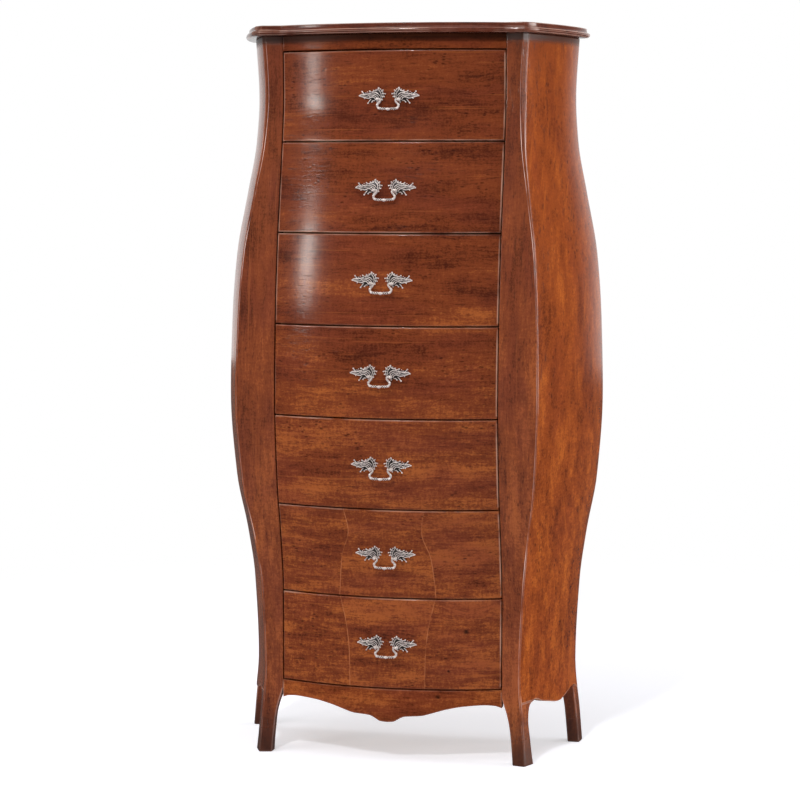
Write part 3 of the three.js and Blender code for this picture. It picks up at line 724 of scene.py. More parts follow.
def frontRing(z):
    narrow = cornerX(z) - carcass["footWidth"]
    inner = between(narrow, body["openingHalfWidth"], legWidening(z))
    rear = cornerY(z) + between(carcass["footDepth"], carcass["postDepth"], legDeepening(z))
    ys = np.linspace(cornerY(z) + cantAt(z), rear, carcass["postColumns"])
    return [(inner, frontAt(z)), (cornerX(z), cornerY(z)), *((sideX(y, z), y) for y in ys), (inner, rear)]


def rearRing(z):
    inner = rearX(z) - between(carcass["rearFootWidth"], carcass["rearPostWidth"], legWidening(z))
    depth = between(carcass["footDepth"], carcass["rearPostDepth"], legWidening(z))
    ys = np.linspace(-depth, 0, carcass["postColumns"])
    return [(inner, 0), (inner, -depth), *((sideX(y, z), y) for y in ys)]


def makeSides():
    panel, cutter = sidePanel(0), sidePanel(fit)
    posts = {"front_post": postFrom("front post", frontRing), "rear_post": postFrom("rear post", rearRing)}
    for side, turn in (("right", lambda mesh: mesh.copy()), ("left", flipped)):
        dressTimber(f"{side}_side_panel", turn(panel), "panel", "sideCherry", panelKeep)
        for name, mesh in posts.items():
            dressTimber(f"{side}_{name}", turn(mesh), "post", "postCherry", postKeep, turn(cutter), byWeight=False)


makeSides()
print("stage: posts and side panels made")

# How pale the apron's and frieze's arrises are painted, partly as wear and partly as a painted highlight.
railWearAndHighlight = {"apronTop": 0.25, "apronEdge": 0.8, "frieze": 0.0, "reach": 0.006}


def makeRails():
    half, drop = body["openingHalfWidth"] - fit, carcass["centreDrop"]
    x = spaced(-half, half, carcass["railColumns"])[None, :]
    high = lowestDrawer - drawerGap / 2
    low = lowestDrawer - drop * apronEdge(np.abs(x) / half)
    top = lowestDrawer - railWearAndHighlight["reach"]
    rails = {
        "front_apron": (
            between(low, high, spaced(0, drop, carcass["apronLevels"])[:, None] / drop),
            lambda place: railWearAndHighlight["apronTop"] if place.z > top else railWearAndHighlight["apronEdge"],
        ),
        "frieze_rail": (
            spaced(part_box("frieze_rail")[0].z, bodyTop - fit, carcass["friezeLevels"])[:, None],
            lambda place: railWearAndHighlight["frieze"],
        ),
    }
    for name, (z, keep) in rails.items():
        y = faceAt(x, z)
        strip = slab(name, inFrame(x, y, z), inFrame(x, y + carcass["railThickness"], z))
        dressTimber(name, strip, name, "railCherry", keep)


makeRails()
print("stage: apron and frieze made")

# The top board's moulding: overhang at each share of its thickness, from below.
topMoulding = {
    "heights": [0, 0.04, 0.12, 0.3, 0.46, 0.54, 0.6, 0.66, 0.96, 1],
    "overhangs": [0.35, 0.7, 0.92, 1, 0.95, 0.82, 0.72, 0.7, 0.68, 0.6],
    "nose": 0.0195,
    "rear": 0.004,
    "levels": 26,
    "frontColumns": 40,
    "sideColumns": 24,
    "mitreLimit": 0.5,
}


def makeTop():
    z = bodyTop
    half = [(x, faceAt(x, z)) for x in np.linspace(0, drawerHalfWidth, topMoulding["frontColumns"])]
    half.append((cornerX(z), cornerY(z)))
    half += [(sideX(y, z), y) for y in np.linspace(cornerY(z) + cantAt(z), 0, topMoulding["sideColumns"])]
    plan = np.array([(-x, y) for x, y in half[:0:-1]] + half)
    before, after = np.roll(plan, 1, axis=0), np.roll(plan, -1, axis=0)

    def outwards(a, b):
        return unit(np.stack([b[:, 1] - a[:, 1], a[:, 0] - b[:, 0]], axis=-1))

    first, second = outwards(before, plan), outwards(plan, after)
    mitre = unit(first + second)
    mitre /= np.maximum((mitre * first).sum(axis=-1, keepdims=True), topMoulding["mitreLimit"])
    isRear = plan[:, 1] == 0
    way = np.where(isRear[:, None], np.where(plan[:, :1] < 0, second, first), mitre)
    overhang = smoothThrough(topMoulding["heights"], topMoulding["overhangs"])
    rings = []
    for share in np.linspace(0, 1, topMoulding["levels"]):
        x, y = (plan + way * topMoulding["nose"] * overhang(share)).T
        y = np.where(isRear, topMoulding["rear"] * overhang(share), y)
        rings.append(inFrame(x, y, bodyTop + share * body["topThickness"]))
    dressTimber("top_board", loft("top board", rings), "top", "topCherry", lambda place: 1.0, byWeight=False)


makeTop()
print("stage: top board made")

# Drawers, counted from the top, as the frame's names are.
drawer = {
    "count": 7,
    "friezeHeight": 0.0296,
    "grade": 0.00075,
    "frontThickness": 0.02,
    "innerFlat": 0.014,
    "boxThickness": 0.01,
    "boxSideInset": 0.001,
    "boxTopClearance": 0.004,
    "boardThickness": 0.01,
    "slideClearance": 0.0004,
    "tailCount": 3,
    "tailDepth": 0.012,
    "tailWidth": 0.026,
    "tailFlare": 0.004,
    "bottomThickness": 0.006,
    "bottomHeight": 0.009,
    "grooveDepth": 0.005,
    "rows": 26,
    "columns": 57,
    "grooveColumns": 25,
    "coarseLevels": 5,
}
drawerPitch = (bodyTop - drawer["friezeHeight"] - lowestDrawer) / drawer["count"]
boxHalfWidth = drawerHalfWidth - drawer["boxSideInset"]
innerBowWidth = drawerHalfWidth - drawer["innerFlat"]


def drawerLine(i):
    # the line under drawer i, counted from the bottom; each is a little taller than the one above it
    return lowestDrawer + i * drawerPitch + drawer["grade"] * i * (drawer["count"] - i) / 2


def drawerPlace(number):
    line, lineAbove = drawerLine(drawer["count"] - number), drawerLine(drawer["count"] - number + 1)
    low, high = line + drawerGap / 2, lineAbove - drawerGap / 2
    rearmost = frontAt(np.linspace(low, high, drawer["coarseLevels"] + 1)).max()
    return {
        "low": low,
        "high": high,
        "inner": rearmost + drawer["frontThickness"],
        "boxLow": line + drawer["boardThickness"] / 2 + drawer["slideClearance"],
        "boxHigh": lineAbove - drawer["boardThickness"] / 2 - drawer["boxTopClearance"],
    }


def socketCutter(spot):
    # the lapped dovetails' sockets in both ends, and the groove for the bottom
    blocks = []
    start = spot["boxLow"] + drawer["bottomHeight"] + drawer["bottomThickness"]
    room = spot["boxHigh"] - start
    inner = spot["inner"] + backLine
    near, far = inner + fit + overrun, inner - drawer["tailDepth"] - fit
    tip = drawer["tailWidth"] / 2 + fit
    root = tip - drawer["tailFlare"]
    inside, outside = boxHalfWidth - drawer["boxThickness"] - fit, drawerHalfWidth + overrun
    for k in range(drawer["tailCount"]):
        middle = start + room * (k + 0.5) / drawer["tailCount"]
        outline = [(near, middle - root), (far, middle - tip), (far, middle + tip), (near, middle + root)]
        blocks += [prism(outline, 0, inside, outside), prism(outline, 0, -outside, -inside)]
    halfWidth = boxHalfWidth - drawer["boxThickness"] + drawer["grooveDepth"] + fit
    xs = np.linspace(-halfWidth, halfWidth, drawer["grooveColumns"])
    ys = inner - drawer["grooveDepth"] - fit - bowAt(xs, innerBowWidth)
    outline = [*zip(xs, ys), (halfWidth, near + overrun), (-halfWidth, near + overrun)]
    low = spot["boxLow"] + drawer["bottomHeight"] - fit
    blocks.append(prism(outline, 2, low, low + drawer["bottomThickness"] + 2 * fit))
    points, faces = [], []
    for corners, sides in blocks:
        faces += [[len(points) + i for i in side] for side in sides]
        points += corners
    return pointOutward(meshFrom("sockets", points, faces))


# Drawer fronts' arrises are painted pale, partly as wear and partly as a painted highlight, most along the right edge;
# the upper ones along the bottom, the others along the top.
frontWearAndHighlight = {
    "reach": 0.004,
    "right": 1.8,
    "left": [1.1, 1.4, 1.2, 0.4, 0.2, 0.2, 0.2],
    "top": [0.5, 0.35, 0.7, 1.0, 1.0, 1.0, 1.0],
    "bottom": [1.2, 1.1, 0.3, 0.12, 0.12, 0.12, 0.12],
    "topFade": 0.45,
    "topFadeFrom": -0.2,
}


def frontKeep(number, spot):
    left, top, bottom = (frontWearAndHighlight[edge][number - 1] for edge in ("left", "top", "bottom"))

    def keep(place):
        if place.z > spot["high"] - frontWearAndHighlight["reach"]:
            past = place.x / drawerHalfWidth - frontWearAndHighlight["topFadeFrom"]
            return min(1.0, 1 - frontWearAndHighlight["topFade"] * past) * top
        if place.z < spot["low"] + frontWearAndHighlight["reach"]:
            return bottom
        return frontWearAndHighlight["right"] if place.x > 0 else left

    return keep


def makeDrawerFront(number):
    spot = drawerPlace(number)
    x = spaced(-drawerHalfWidth, drawerHalfWidth, drawer["columns"])[None, :]
    z = spaced(spot["low"], spot["high"], drawer["rows"])[:, None]
    mesh = slab("drawer front", inFrame(x, faceAt(x, z), z), inFrame(x, spot["inner"] - bowAt(x, innerBowWidth), z))
    if number in veneerLines:
        halfWidth = smoothThrough(*veneerLines[number])
        places = np.array([v.co for v in mesh.vertices])
        setValues(mesh, "veneer", veneerJoint["level"] + halfWidth(places[:, 2]) - np.abs(places[:, 0]))
    node, carrier, keep = f"drawer_{number}_front", f"drawer_{number}", frontKeep(number, spot)
    cutter = socketCutter(spot)
    dressTimber(node, mesh, "front", "drawerFrontCherry", keep, cutter, carrier=carrier)


for number in range(1, drawer["count"] + 1):
    makeDrawerFront(number)
print("stage: drawer fronts made")

# Plain timber inside and behind, on the frame's own pieces.
liners = {
    "boxLiner": {
        "grainAxis": "y", "shift": (0, 0, 0), "contrast": 0.7, "flecks": 0.3, "knots": 0.3, "wornAndLitAmount": 0.2,
        "dark": (134, 90, 58), "middle": (176, 128, 88), "light": (204, 158, 116), "red": (178, 124, 90),
        "worn": (205, 170, 130),
    },
    "bottomLiner": {
        "grainAxis": "x", "shift": (0, 0, 0), "contrast": 0.7, "flecks": 0.3, "knots": 0.2, "wornAndLitAmount": 0.2,
        "dark": (140, 96, 62), "middle": (182, 134, 94), "light": (210, 166, 124), "red": (184, 130, 96),
        "worn": (205, 170, 130),
    },
    "backLiner": {
        "grainAxis": "z", "shift": (0, 0, 0), "contrast": 0.8, "flecks": 0.5, "knots": 0.8, "wornAndLitAmount": 0.2,
        "dark": (110, 70, 44), "middle": (150, 102, 68), "light": (180, 130, 92), "red": (154, 98, 68),
        "worn": (190, 150, 110),
    },
}
woods.update({name: woodMaterial(name, finish) for name, finish in liners.items()})


def linerFor(name):
    if name.endswith("_box"):
        return "boxLiner"
    if name.endswith("_bottom") or "_board" in name and name != "top_board" or name == "rear_rail":
        return "bottomLiner"
    return "backLiner" if name == "back_panel" else None


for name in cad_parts:
    if linerFor(name):
        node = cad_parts[name]
        node.data.materials.clear()
        node.data.materials.append(woods[linerFor(name)])
print("stage: inside timber dressed")

# Cast handles in antique silver: pierced-looking leaves, ball eyes and leafy bails, in millimetres.
mm = 0.001
handle = {
    "length": 52,
    "height": 30,
    "base": -0.35,
    "crown": 1.6,
    "centre": 31.5,
    "standOff": 0.5,
    "eyeRadius": 3.1,
    "eyeOffset": 20.5,
    "eyeDrop": 7,
    "eyeReach": 8,
    "boreRadius": 2.05,
    "pinReach": 0.8,
    "bailHalfWidth": 20.5,
    "bailDrop": 18.5,
    "bailRadius": 2,
    "facets": 5,
    "leastBead": 0.01,
    "beadRings": 5,
}
leafShares = [
    (-0.48, 0.09), (-0.45, -0.07), (-0.42, -0.15), (-0.35, -0.29), (-0.21, -0.43), (-0.1, -0.36),
    (0.015, -0.43), (0.17, -0.48), (0.11, -0.27), (0.22, -0.2), (0.36, -0.13), (0.5, -0.01),
    (0.43, 0.1), (0.38, 0.26), (0.27, 0.13), (0.16, 0.18), (0.1, 0.29), (0.0, 0.25),
    (-0.08, 0.34), (-0.16, 0.41), (-0.23, 0.49), (-0.31, 0.4), (-0.38, 0.34), (-0.44, 0.22),
]
# Each ridge of a right-hand leaf: its radius, then the points it runs through.
leafRidges = [
    (1.05, [(25.5, -0.2), (21.5, 2.3), (14.5, 1.7), (8, 3.2), (2.5, 4.6)]),
    (0.95, [(25.5, -0.6), (18.5, -2.6), (11.5, -4.4), (6.3, -5), (2.4, -3.2), (-1.6, -2.8), (-5, -5), (-6.6, -8.5)]),
    (0.7, [(6.2, -1.7), (0.8, 0.1), (-4.4, -0.6), (-8.4, -3.8), (-9.6, -8)]),
    (0.75, [(8.6, 0.6), (2, 2.7), (-5, 2.4), (-10.4, -0.6), (-13, -5)]),
    (0.8, [(0.4, 5.4), (-5.4, 5.6), (-11.2, 3.2), (-14.6, -0.8)]),
    (0.85, [(4.9, 8.2), (0.6, 6.6), (-4, 8.6), (-8.2, 9), (-12, 14.2)]),
    (0.7, [(-12, 14.2), (-12.8, 9.6), (-16, 5.4), (-17.4, 0), (-15.4, -5.4), (-11, -10.4)]),
    (0.6, [(-12, 14.2), (-16.2, 11), (-19.6, 7), (-21, 1.4), (-19.4, -4), (-15.4, -8.6), (-10, -12)]),
    (0.8, [(-25.4, 3), (-22.4, 3.8), (-18.4, 3)]),
    (0.7, [(-20.4, 10), (-18.6, 8), (-16.4, 7.4)]),
    (0.7, [(-23.2, -2.2), (-20.6, -1.6), (-18.4, -2.2)]),
    (0.55, [(23.6, 0.6), (19.2, -0.5), (14.4, -0.9), (9.4, -1.4), (5, 0.4)]),
    (0.85, [(8.4, -14), (5.2, -9.6), (2.4, -6.6)]),
    (0.75, [(0.8, -12.2), (-2, -9.4), (-5.2, -10)]),
    (0.8, [(20, 7.6), (17.6, 4.6), (14.5, 2.4)]),
]
# The leaf's beads: place and radius.
leafBeads = [
    (25.2, -0.3, 1.5), (20, 7.6, 1.5), (4.9, 8.3, 1.4), (-12, 14, 1.6), (-20.4, 10, 1.3), (-25, 3, 1.3),
    (-9.8, -12.2, 1.5), (8.4, -14, 1.5), (0.8, -12.2, 1.3), (12.4, 4.6, 1.1), (-7.4, 11.2, 1), (-2.6, 9.8, 1),
    (-19, -7.8, 1.6), (15, -5.4, 1.1), (-23, -2.2, 1.2), (9.4, 6.8, 0.9), (-16, 12, 1.1),
]
leafRings = ((0.93, 0.0), (0.93, 0.35), (0.86, 0.8), (0.6, 1.0), (0.3, 1.0))  # share of the outline and of the rise
leafLine = {"spacing": 1.1, "thin": 0.58, "swell": 0.26, "ends": 0.2, "lift": 0.35, "beadLift": 0.2}
leafDome = {"flat": 1.15, "least": 0.25}
eyeNeck = [(0.6, 3.4), (1.6, 3.1), (2.4, 2.3), (4.6, 2.2), (5.4, 2.35)]  # height above the seat, radius
eyeRing = {"from": -48, "to": 84, "levels": 9, "columns": 18, "boreColumns": 20, "recess": 0.1, "sharper": 16}
bailShares = [
    (0.79, 0), (0.73, 0.02), (0.71, 0.2), (0.84, 0.38), (0.98, 0.56),
    (0.97, 0.76), (0.8, 0.92), (0.5, 0.97), (0.2, 0.96), (0, 1),
]
bailLengths = [0, 0.08, 0.14, 0.3, 0.4, 0.44, 0.5]
bailRadii = [0.85, 0.85, 0.95, 1, 0.85, 0.8, 0.9]
bailLine = {"spacing": 0.9, "pinEnd": 0.3, "lowShare": 0.7, "middle": 15, "recess": (1.0, 0.1, 0.25), "beadLift": 0.2}
bailTwist = {"from": 0.29, "to": 0.46, "turns": 1.9, "radius": 0.72, "reach": 1.55, "least": 0.2}
bailBeads = [(0, 1, 1.5), (0.13, 0.99, 1.15), (0.98, 0.56, 1.25), (0.86, 0.9, 1.3)]
curveSteps = 12


def curveThrough(points, spacing):
    # a smooth line through the points, as places a steady step apart
    points = np.asarray(points, float)
    padded = np.vstack([2 * points[0] - points[1], points, 2 * points[-1] - points[-2]])
    places = []
    for a, b, c, d in zip(padded, padded[1:], padded[2:], padded[3:]):
        for t in np.linspace(0, 1, curveSteps, endpoint=False):
            bend = (2 * a - 5 * b + 4 * c - d) * t**2 + (3 * b - a - 3 * c + d) * t**3
            places.append(b + ((c - a) * t + bend) / 2)
    places = np.array(places + [points[-1]])
    along = np.concatenate([[0], np.cumsum(np.linalg.norm(np.diff(places, axis=0), axis=1))])
    stations = np.linspace(0, along[-1], max(3, int(along[-1] / spacing) + 1))
    return np.stack([np.interp(stations, along, column) for column in places.T], axis=-1)


class Casting:
    # gathers faces, ridge lines and beads, in millimetres, for the ornament tree
    def __init__(self):
        self.points, self.edges, self.faces = [], [], []
        self.values = {"thickness": [], "bead": [], "recess": []}

    def include(self, places, edges=(), faces=(), **given):
        base = len(self.points)
        self.points.extend(places)
        self.edges.extend([(a + base, b + base) for a, b in edges])
        self.faces.extend([[i + base for i in face] for face in faces])
        for key, values in self.values.items():
            values.extend(np.broadcast_to(given.get(key, 0.0), len(places)).tolist())

    def ridge(self, places, thickness, recess=0.0):
        edges = [(i, i + 1) for i in range(len(places) - 1)]
        self.include(places, edges, thickness=thickness, recess=recess)

    def solid(self, mesh, spun, recess):
        faces = [list(face.vertices) for face in mesh.polygons]
        self.include([spun @ v.co for v in mesh.vertices], faces=faces, recess=recess)

    def mesh(self, name):
        mesh = meshFrom(name, self.points, self.faces, self.edges)
        for key, values in self.values.items():
            setValues(mesh, key, values)
        mesh.transform(Matrix.Scale(mm, 4))
        return mesh


def buildCastOrnament():
    # lines become round ridges and marked points become beads; faces pass as they are
    inputs = {"Geometry": "Geometry", "Ridge Scale": "Float", "Bead Scale": "Float"}
    inputs.update({"Ridge Sides": "Int", "Bead Segments": "Int", "Material": "Material"})
    tree, given = newGroup("castOrnament", inputs, {"Geometry": "Geometry"}, "Geometry")
    whole = given["Geometry"]

    def attribute(name):
        return tree.place("InputNamedAttribute", {"Name": name}, data_type="FLOAT").outputs["Attribute"]

    faces = tree.place("InputMeshEdgeNeighbors").outputs["Face Count"]
    loose = tree.place("FunctionNodeCompare", {2: faces}, data_type="INT", operation="EQUAL")
    inputs = {
        "Curve": tree.place("MeshToCurve", {"Mesh": whole, "Selection": loose}),
        "Profile Curve": tree.place("CurvePrimitiveCircle", {"Resolution": given["Ridge Sides"], "Radius": 1.0}),
        "Scale": tree.times(attribute("thickness"), given["Ridge Scale"]),
        "Fill Caps": True,
    }
    ridges = tree.place("CurveToMesh", inputs)
    inputs = {0: attribute("bead"), 1: handle["leastBead"]}
    isBead = tree.place("FunctionNodeCompare", inputs, data_type="FLOAT", operation="GREATER_THAN")
    inputs = {"Segments": given["Bead Segments"], "Rings": handle["beadRings"], "Radius": 1.0}
    beads = tree.place("InstanceOnPoints", {
        "Points": tree.place("MeshToPoints", {"Mesh": whole, "Selection": isBead}),
        "Instance": tree.place("MeshUVSphere", inputs),
        "Scale": tree.times(attribute("bead"), given["Bead Scale"]),
    })
    body = tree.place("SeparateGeometry", {"Geometry": whole, "Selection": True}, domain="FACE")
    joined = tree.place("JoinGeometry")
    for part in (beads, ridges, body):
        tree.feed(joined.inputs[0], part)
    real = tree.place("RealizeInstances", {0: joined})
    return tree.done({0: tree.place("SetMaterial", {"Geometry": real, "Material": given["Material"]})})


silver = {
    "bright": (250, 237, 230), "worn": (218, 197, 190), "tarnish": (38, 27, 24), "wornShare": 0.5,
    "roughness": 0.3, "metallic": 0.3, "specular": 0.9, "smoother": 0.06, "rougher": 0.12, "bump": 0.0002,
    "cast": ((420, 420, 420), 3), "castLevels": (0.3, 0.7), "blotches": ((160, 160, 160), 2, 0.55, 0.35, 0.7),
}


def silverMaterial():
    material = bpy.data.materials.new("antiqueSilver")
    tree = emptyTree(material)
    where = tree.place("TexCoord").outputs["Object"]
    cast = tree.noise(where, *silver["cast"])
    share = tree.times(tree.patches(where, *silver["blotches"]), silver["wornShare"])
    colour = tree.mix(share, linear(*silver["bright"]), linear(*silver["worn"]))
    rough = silver["roughness"]
    tree.place("OutputMaterial", {"Surface": tree.place("BsdfPrincipled", {
        "Base Color": tree.mix(tree.attribute("recess"), colour, linear(*silver["tarnish"])),
        "Roughness": tree.remap(cast, *silver["castLevels"], rough - silver["smoother"], rough + silver["rougher"]),
        "Metallic": silver["metallic"],
        "Specular IOR Level": silver["specular"],
        "Normal": tree.place("Bump", {"Height": cast, "Distance": silver["bump"]}),
    })})
    return material


antiqueSilver = silverMaterial()
castOrnament = buildCastOrnament()
ornament = {"Ridge Scale": mm, "Bead Scale": mm, "Ridge Sides": 8, "Bead Segments": 9, "Material": antiqueSilver}


def castMesh(name, casting):
    piece = objectFrom(name, casting.mesh(name))
    modifier = piece.modifiers.new("ornament", "NODES")
    modifier.node_group = castOrnament
    for item in castOrnament.interface.items_tree:
        if item.in_out == "INPUT" and item.name in ornament:
            modifier[item.identifier] = ornament[item.name]
    return meshOf(piece)


def leafBend(u):
    # how far the drawer's bow falls away below a leaf
    return body["frontBow"] / drawerHalfWidth ** 2 * np.asarray(u) ** 2 * mm


def leafLift(u, v):
    # height of the domed leaf's face above its seat
    edge = np.hypot(np.asarray(u) / (handle["length"] / 2), np.asarray(v) / (handle["height"] / 2))
    return handle["crown"] * np.clip(leafDome["flat"] - edge**2, leafDome["least"], 1) - leafBend(u)


def eyeFaces(hand):
    # a ball on a short neck, open along the pin
    ball = np.radians(np.linspace(eyeRing["from"], eyeRing["to"], eyeRing["levels"]))
    radius = handle["eyeRadius"]
    rings = eyeNeck + [(handle["eyeReach"] + radius * math.sin(a), radius * math.cos(a)) for a in ball]
    x = -hand * (handle["centre"] - handle["eyeOffset"])
    angles = np.linspace(0, 2 * math.pi, eyeRing["columns"], endpoint=False)
    return [[(x + r * math.cos(a), r * math.sin(a) - handle["eyeDrop"], h) for a in angles] for h, r in rings]


def boredEye(hand):
    eye = objectFrom("eye", loft("eye", eyeFaces(hand)))
    near, far = -hand * (handle["centre"] - handle["eyeOffset"] - handle["pinReach"]), -hand * handle["centre"]
    radius = handle["boreRadius"]
    circle = [
        (radius * math.cos(a) - handle["eyeDrop"], radius * math.sin(a) + handle["eyeReach"])
        for a in np.linspace(0, 2 * math.pi, eyeRing["boreColumns"], endpoint=False)
    ]
    bore = pointOutward(meshFrom("bore", *prism(circle, 0, min(near, far), max(near, far))))
    return meshOf(eye, [addCut(eye, bore)])


def makeLeafMesh(hand, turn):
    casting = Casting()
    outline = np.array(leafShares) * (handle["length"], handle["height"]) * (hand, 1)
    rings = []
    for share, lift in leafRings:
        x, y = (outline * share).T
        low = handle["base"] - (0 if lift else leafBend(x))
        rings.append(np.stack([x, y, low + (leafLift(x, y) - handle["base"]) * lift], axis=-1))
    spun = Matrix.Rotation(hand * turn, 4, "Y")
    casting.solid(loft("leaf", rings), spun, 1.0)
    for radius, points in leafRidges:
        line = curveThrough(points, leafLine["spacing"]) * (hand, 1)
        swell = np.sin(np.linspace(leafLine["ends"], math.pi - leafLine["ends"], len(line)))
        high = leafLift(*line.T) + leafLine["lift"] * radius
        places = [spun @ Vector((x, y, z)) for (x, y), z in zip(line, high)]
        casting.ridge(places, radius * (leafLine["thin"] + leafLine["swell"] * swell))
    for u, v, radius in leafBeads:
        place = Vector((hand * u, v, float(leafLift(u, v)) + leafLine["beadLift"]))
        casting.include([spun @ place], bead=radius)
    casting.solid(boredEye(hand), Matrix.Identity(4), eyeRing["recess"])
    return castMesh("rosette", casting)


def makeBailMesh():
    casting = Casting()
    size, radius = np.array((handle["bailHalfWidth"], -handle["bailDrop"])), handle["bailRadius"]
    path = [(handle["eyeOffset"] + handle["pinReach"] - bailLine["pinEnd"], 0), *(np.array(bailShares) * size)]
    path = curveThrough([(-x, y) for x, y in path[:-1]] + path[::-1], bailLine["spacing"])
    shares = np.linspace(0, 1, len(path))
    ends = np.minimum(shares, 1 - shares)
    thickness = radius * smoothThrough(bailLengths, bailRadii)(ends)
    middle = np.abs(path[:, 0]) < bailLine["middle"]
    low = path[:, 1] < -bailLine["lowShare"] * handle["bailDrop"]
    inMiddle, atCorner, above = bailLine["recess"]
    recess = np.where(low, np.where(middle, inMiddle, atCorner), above)
    casting.ridge([(x, y, 0) for x, y in path], thickness, recess)
    # two strands twist round each half of the grip
    across = unit(np.gradient(path, axis=0))[:, ::-1] * (-1, 1)
    isTwisted = (ends > bailTwist["from"]) & (ends < bailTwist["to"])
    for isFar in (False, True):
        for start in (0, math.pi):
            span = np.where(isTwisted & ((shares > 0.5) == isFar))[0]
            t = np.linspace(0, 1, len(span))
            a = start + 2 * math.pi * bailTwist["turns"] * (1 - t if isFar else t)
            line = path[span] + across[span] * (bailTwist["reach"] * np.cos(a))[:, None]
            places = [(x, y, z) for (x, y), z in zip(line, bailTwist["reach"] * np.sin(a))]
            casting.ridge(places, bailTwist["radius"] * (0.5 + 0.5 * np.sin(math.pi * t)) + bailTwist["least"])
    for x, drop, share in bailBeads:
        for hand in (-1, 1) if x else (1,):
            casting.include([(*((hand * x, drop) * size), bailLine["beadLift"])], bead=share * radius)
    return castMesh("bail", casting)


def castNode(name, source, place, carrier):
    mesh = source.copy()
    mesh.transform(place)
    piece = objectFrom(f"{name}_dressed", mesh)
    sharpAngle = edgeFinish["sharpAngle"] + eyeRing["sharper"]
    handOver(piece, antiqueSilver, sharpAngle, carrier, name)


def makeHandles():
    centre, standOff = handle["centre"] * mm, handle["standOff"] * mm
    ahead = float(bowAt(centre))
    turn = math.atan((float(bowAt(centre - drawerGap)) - ahead) / drawerGap)
    leaves = {hand: makeLeafMesh(hand, turn) for hand in (-1, 1)}
    bail = makeBailMesh()
    for number in range(1, drawer["count"] + 1):
        spot = drawerPlace(number)
        z, facet = (spot["low"] + spot["high"]) / 2, (spot["high"] - spot["low"]) / handle["facets"]
        low, high = float(frontAt(z - facet / 2)), float(frontAt(z + facet / 2))
        lean = math.atan((high - low) / facet)
        seat = Matrix.Translation((0, (low + high) / 2 + backLine, z))
        tilt = Matrix.Rotation(math.pi / 2 - lean, 4, "X")
        for side, hand in (("left", -1), ("right", 1)):
            aside = Matrix.Translation((hand * centre, -ahead - standOff, 0))
            castNode(f"drawer_{number}_{side}_rosette", leaves[hand], seat @ aside @ tilt, f"drawer_{number}")
        pivot = tilt @ Vector((0, -handle["eyeDrop"] * mm, handle["eyeReach"] * mm))
        hung = Matrix.Translation((0, pivot.y - ahead - standOff, pivot.z))
        fall = Matrix.Rotation(math.pi / 2 - max(lean, 0), 4, "X")
        castNode(f"drawer_{number}_bail", bail, seat @ hung @ fall, f"bail_{number}")


makeHandles()
print("stage: handles made")

# The studio: a pale floor that fades to white, a dim room and soft lamps.
studio = {
    "floorHalf": 9.0,
    "floorTone": 0.8,
    "floorTint": (0.99, 1, 1.08),
    "floorLift": 0.41,
    "floorMirror": 0.1,
    "floorFade": (1.1, 2.3),
    "roomLevel": 0.42,
    "behindGlow": 1.0,
    "sideGlow": 0.1,
    "glowEdge": (0.72, 0.95),
    "lampAim": (0, 0, 0.75),
    "sensorWidth": 36,
    "lens": 102.3,
    "cameraAhead": 4.4095,
    "cameraSide": 0.9774,
    "cameraHeight": 1.1192,
    "cameraPitch": 84.34,
    "cameraTurn": 12.93,
}
lamps = {  # azimuth, elevation, distance, width and height, watts, warmth
    "rightKey": (98, 5, 6.0, (2.8, 2.8), 208, 0),
    "leftStrip": (-45, 16.5, 3.29, (0.27, 0.62), 9.0, 0.1),
    "leftStripLow": (-45, 9.5, 3.2, (0.2, 0.26), 1.7, 0.1),
    "leftFill": (-62, 40, 6.0, (2.5, 2.5), 58, 0),
    "frontFill": (-8, 45, 6.0, (0.4, 0.4), 118, 0),
    "overhead": (0, 74, 3.6, (1.8, 1.8), 20, 0),
    "rim": (131, 52, 3.4, (0.9, 0.9), 14, 0),
}
warmGreen = 0.45  # a warm lamp loses this share of its warmth in green, and all of it in blue


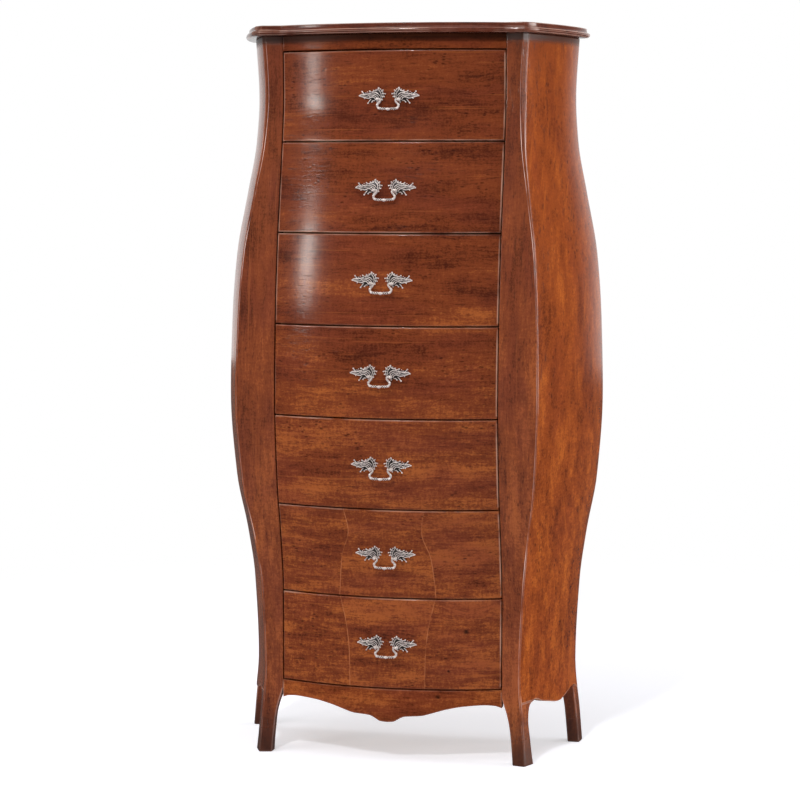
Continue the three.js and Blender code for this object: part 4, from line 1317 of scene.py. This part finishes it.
def makeFloor():
    half = studio["floorHalf"]
    corners = [(x * half, y * half, 0) for x, y in ((-1, -1), (1, -1), (1, 1), (-1, 1))]
    floor = objectFrom("floor", meshFrom("floor", corners, [[0, 1, 2, 3]]))
    material = bpy.data.materials.new("paleFloor")
    tree = emptyTree(material)
    tone = [studio["floorTone"] * share for share in studio["floorTint"]]
    matt = tree.place("BsdfDiffuse", {"Color": (*tone, 1)})
    lift, white, dim = (
        tree.place("Emission", {"Strength": strength}) for strength in (studio["floorLift"], 1.0, studio["floorMirror"])
    )
    path = tree.place("LightPath").outputs
    away = tree.place("VectorMath", {0: tree.place("TexCoord").outputs["Object"]}, operation="LENGTH")
    far = tree.remap(away.outputs["Value"], *studio["floorFade"])
    shown = tree.mixShaders(far, tree.place("AddShader", {0: matt, 1: lift}), white)
    bounced = tree.mixShaders(path["Is Glossy Ray"], matt, dim)
    tree.place("OutputMaterial", {"Surface": tree.mixShaders(path["Is Camera Ray"], bounced, shown)})
    floor.data.materials.append(material)


def makeWorld():
    world = bpy.data.worlds.new("studioRoom")
    scene.world = world
    tree = emptyTree(world)
    path = tree.place("LightPath").outputs
    way = tree.place("SeparateXYZ", {0: tree.place("TexCoord").outputs["Generated"]}).outputs
    glow = tree.remap(way["Y"], *studio["glowEdge"], studio["sideGlow"], studio["behindGlow"])
    room, mirror, white = (
        tree.place("Background", {"Color": (1, 1, 1, 1), "Strength": strength})
        for strength in (studio["roomLevel"], glow, 1.0)
    )
    seen = tree.math("MAXIMUM", path["Is Camera Ray"], path["Is Transmission Ray"])
    unseen = tree.mixShaders(path["Is Glossy Ray"], room, mirror)
    tree.place("OutputWorld", {"Surface": tree.mixShaders(seen, unseen, white)})


def makeLamps():
    for name, (azimuth, elevation, distance, size, watts, warmth) in lamps.items():
        a, e = math.radians(azimuth), math.radians(elevation)
        way = Vector((math.sin(a) * math.cos(e), -math.cos(a) * math.cos(e), math.sin(e)))
        data = bpy.data.lights.new(name, "AREA")
        data.shape = "RECTANGLE"
        data.size, data.size_y = size
        data.energy = watts
        data.color = (1, 1 - warmth * warmGreen, 1 - warmth)
        light = objectFrom(name, data)
        light.location = Vector(studio["lampAim"]) + way * distance
        light.rotation_euler = way.to_track_quat("Z", "Y").to_euler()


def makeCamera():
    data = bpy.data.cameras.new("camera")
    data.sensor_width = studio["sensorWidth"]
    data.lens = studio["lens"]
    camera = objectFrom("camera", data)
    camera.location = (studio["cameraSide"], backLine - studio["cameraAhead"], studio["cameraHeight"])
    camera.rotation_euler = (math.radians(studio["cameraPitch"]), 0, math.radians(studio["cameraTurn"]))
    scene.camera = camera


makeFloor()
makeWorld()
makeLamps()
makeCamera()
print("stage: studio made")
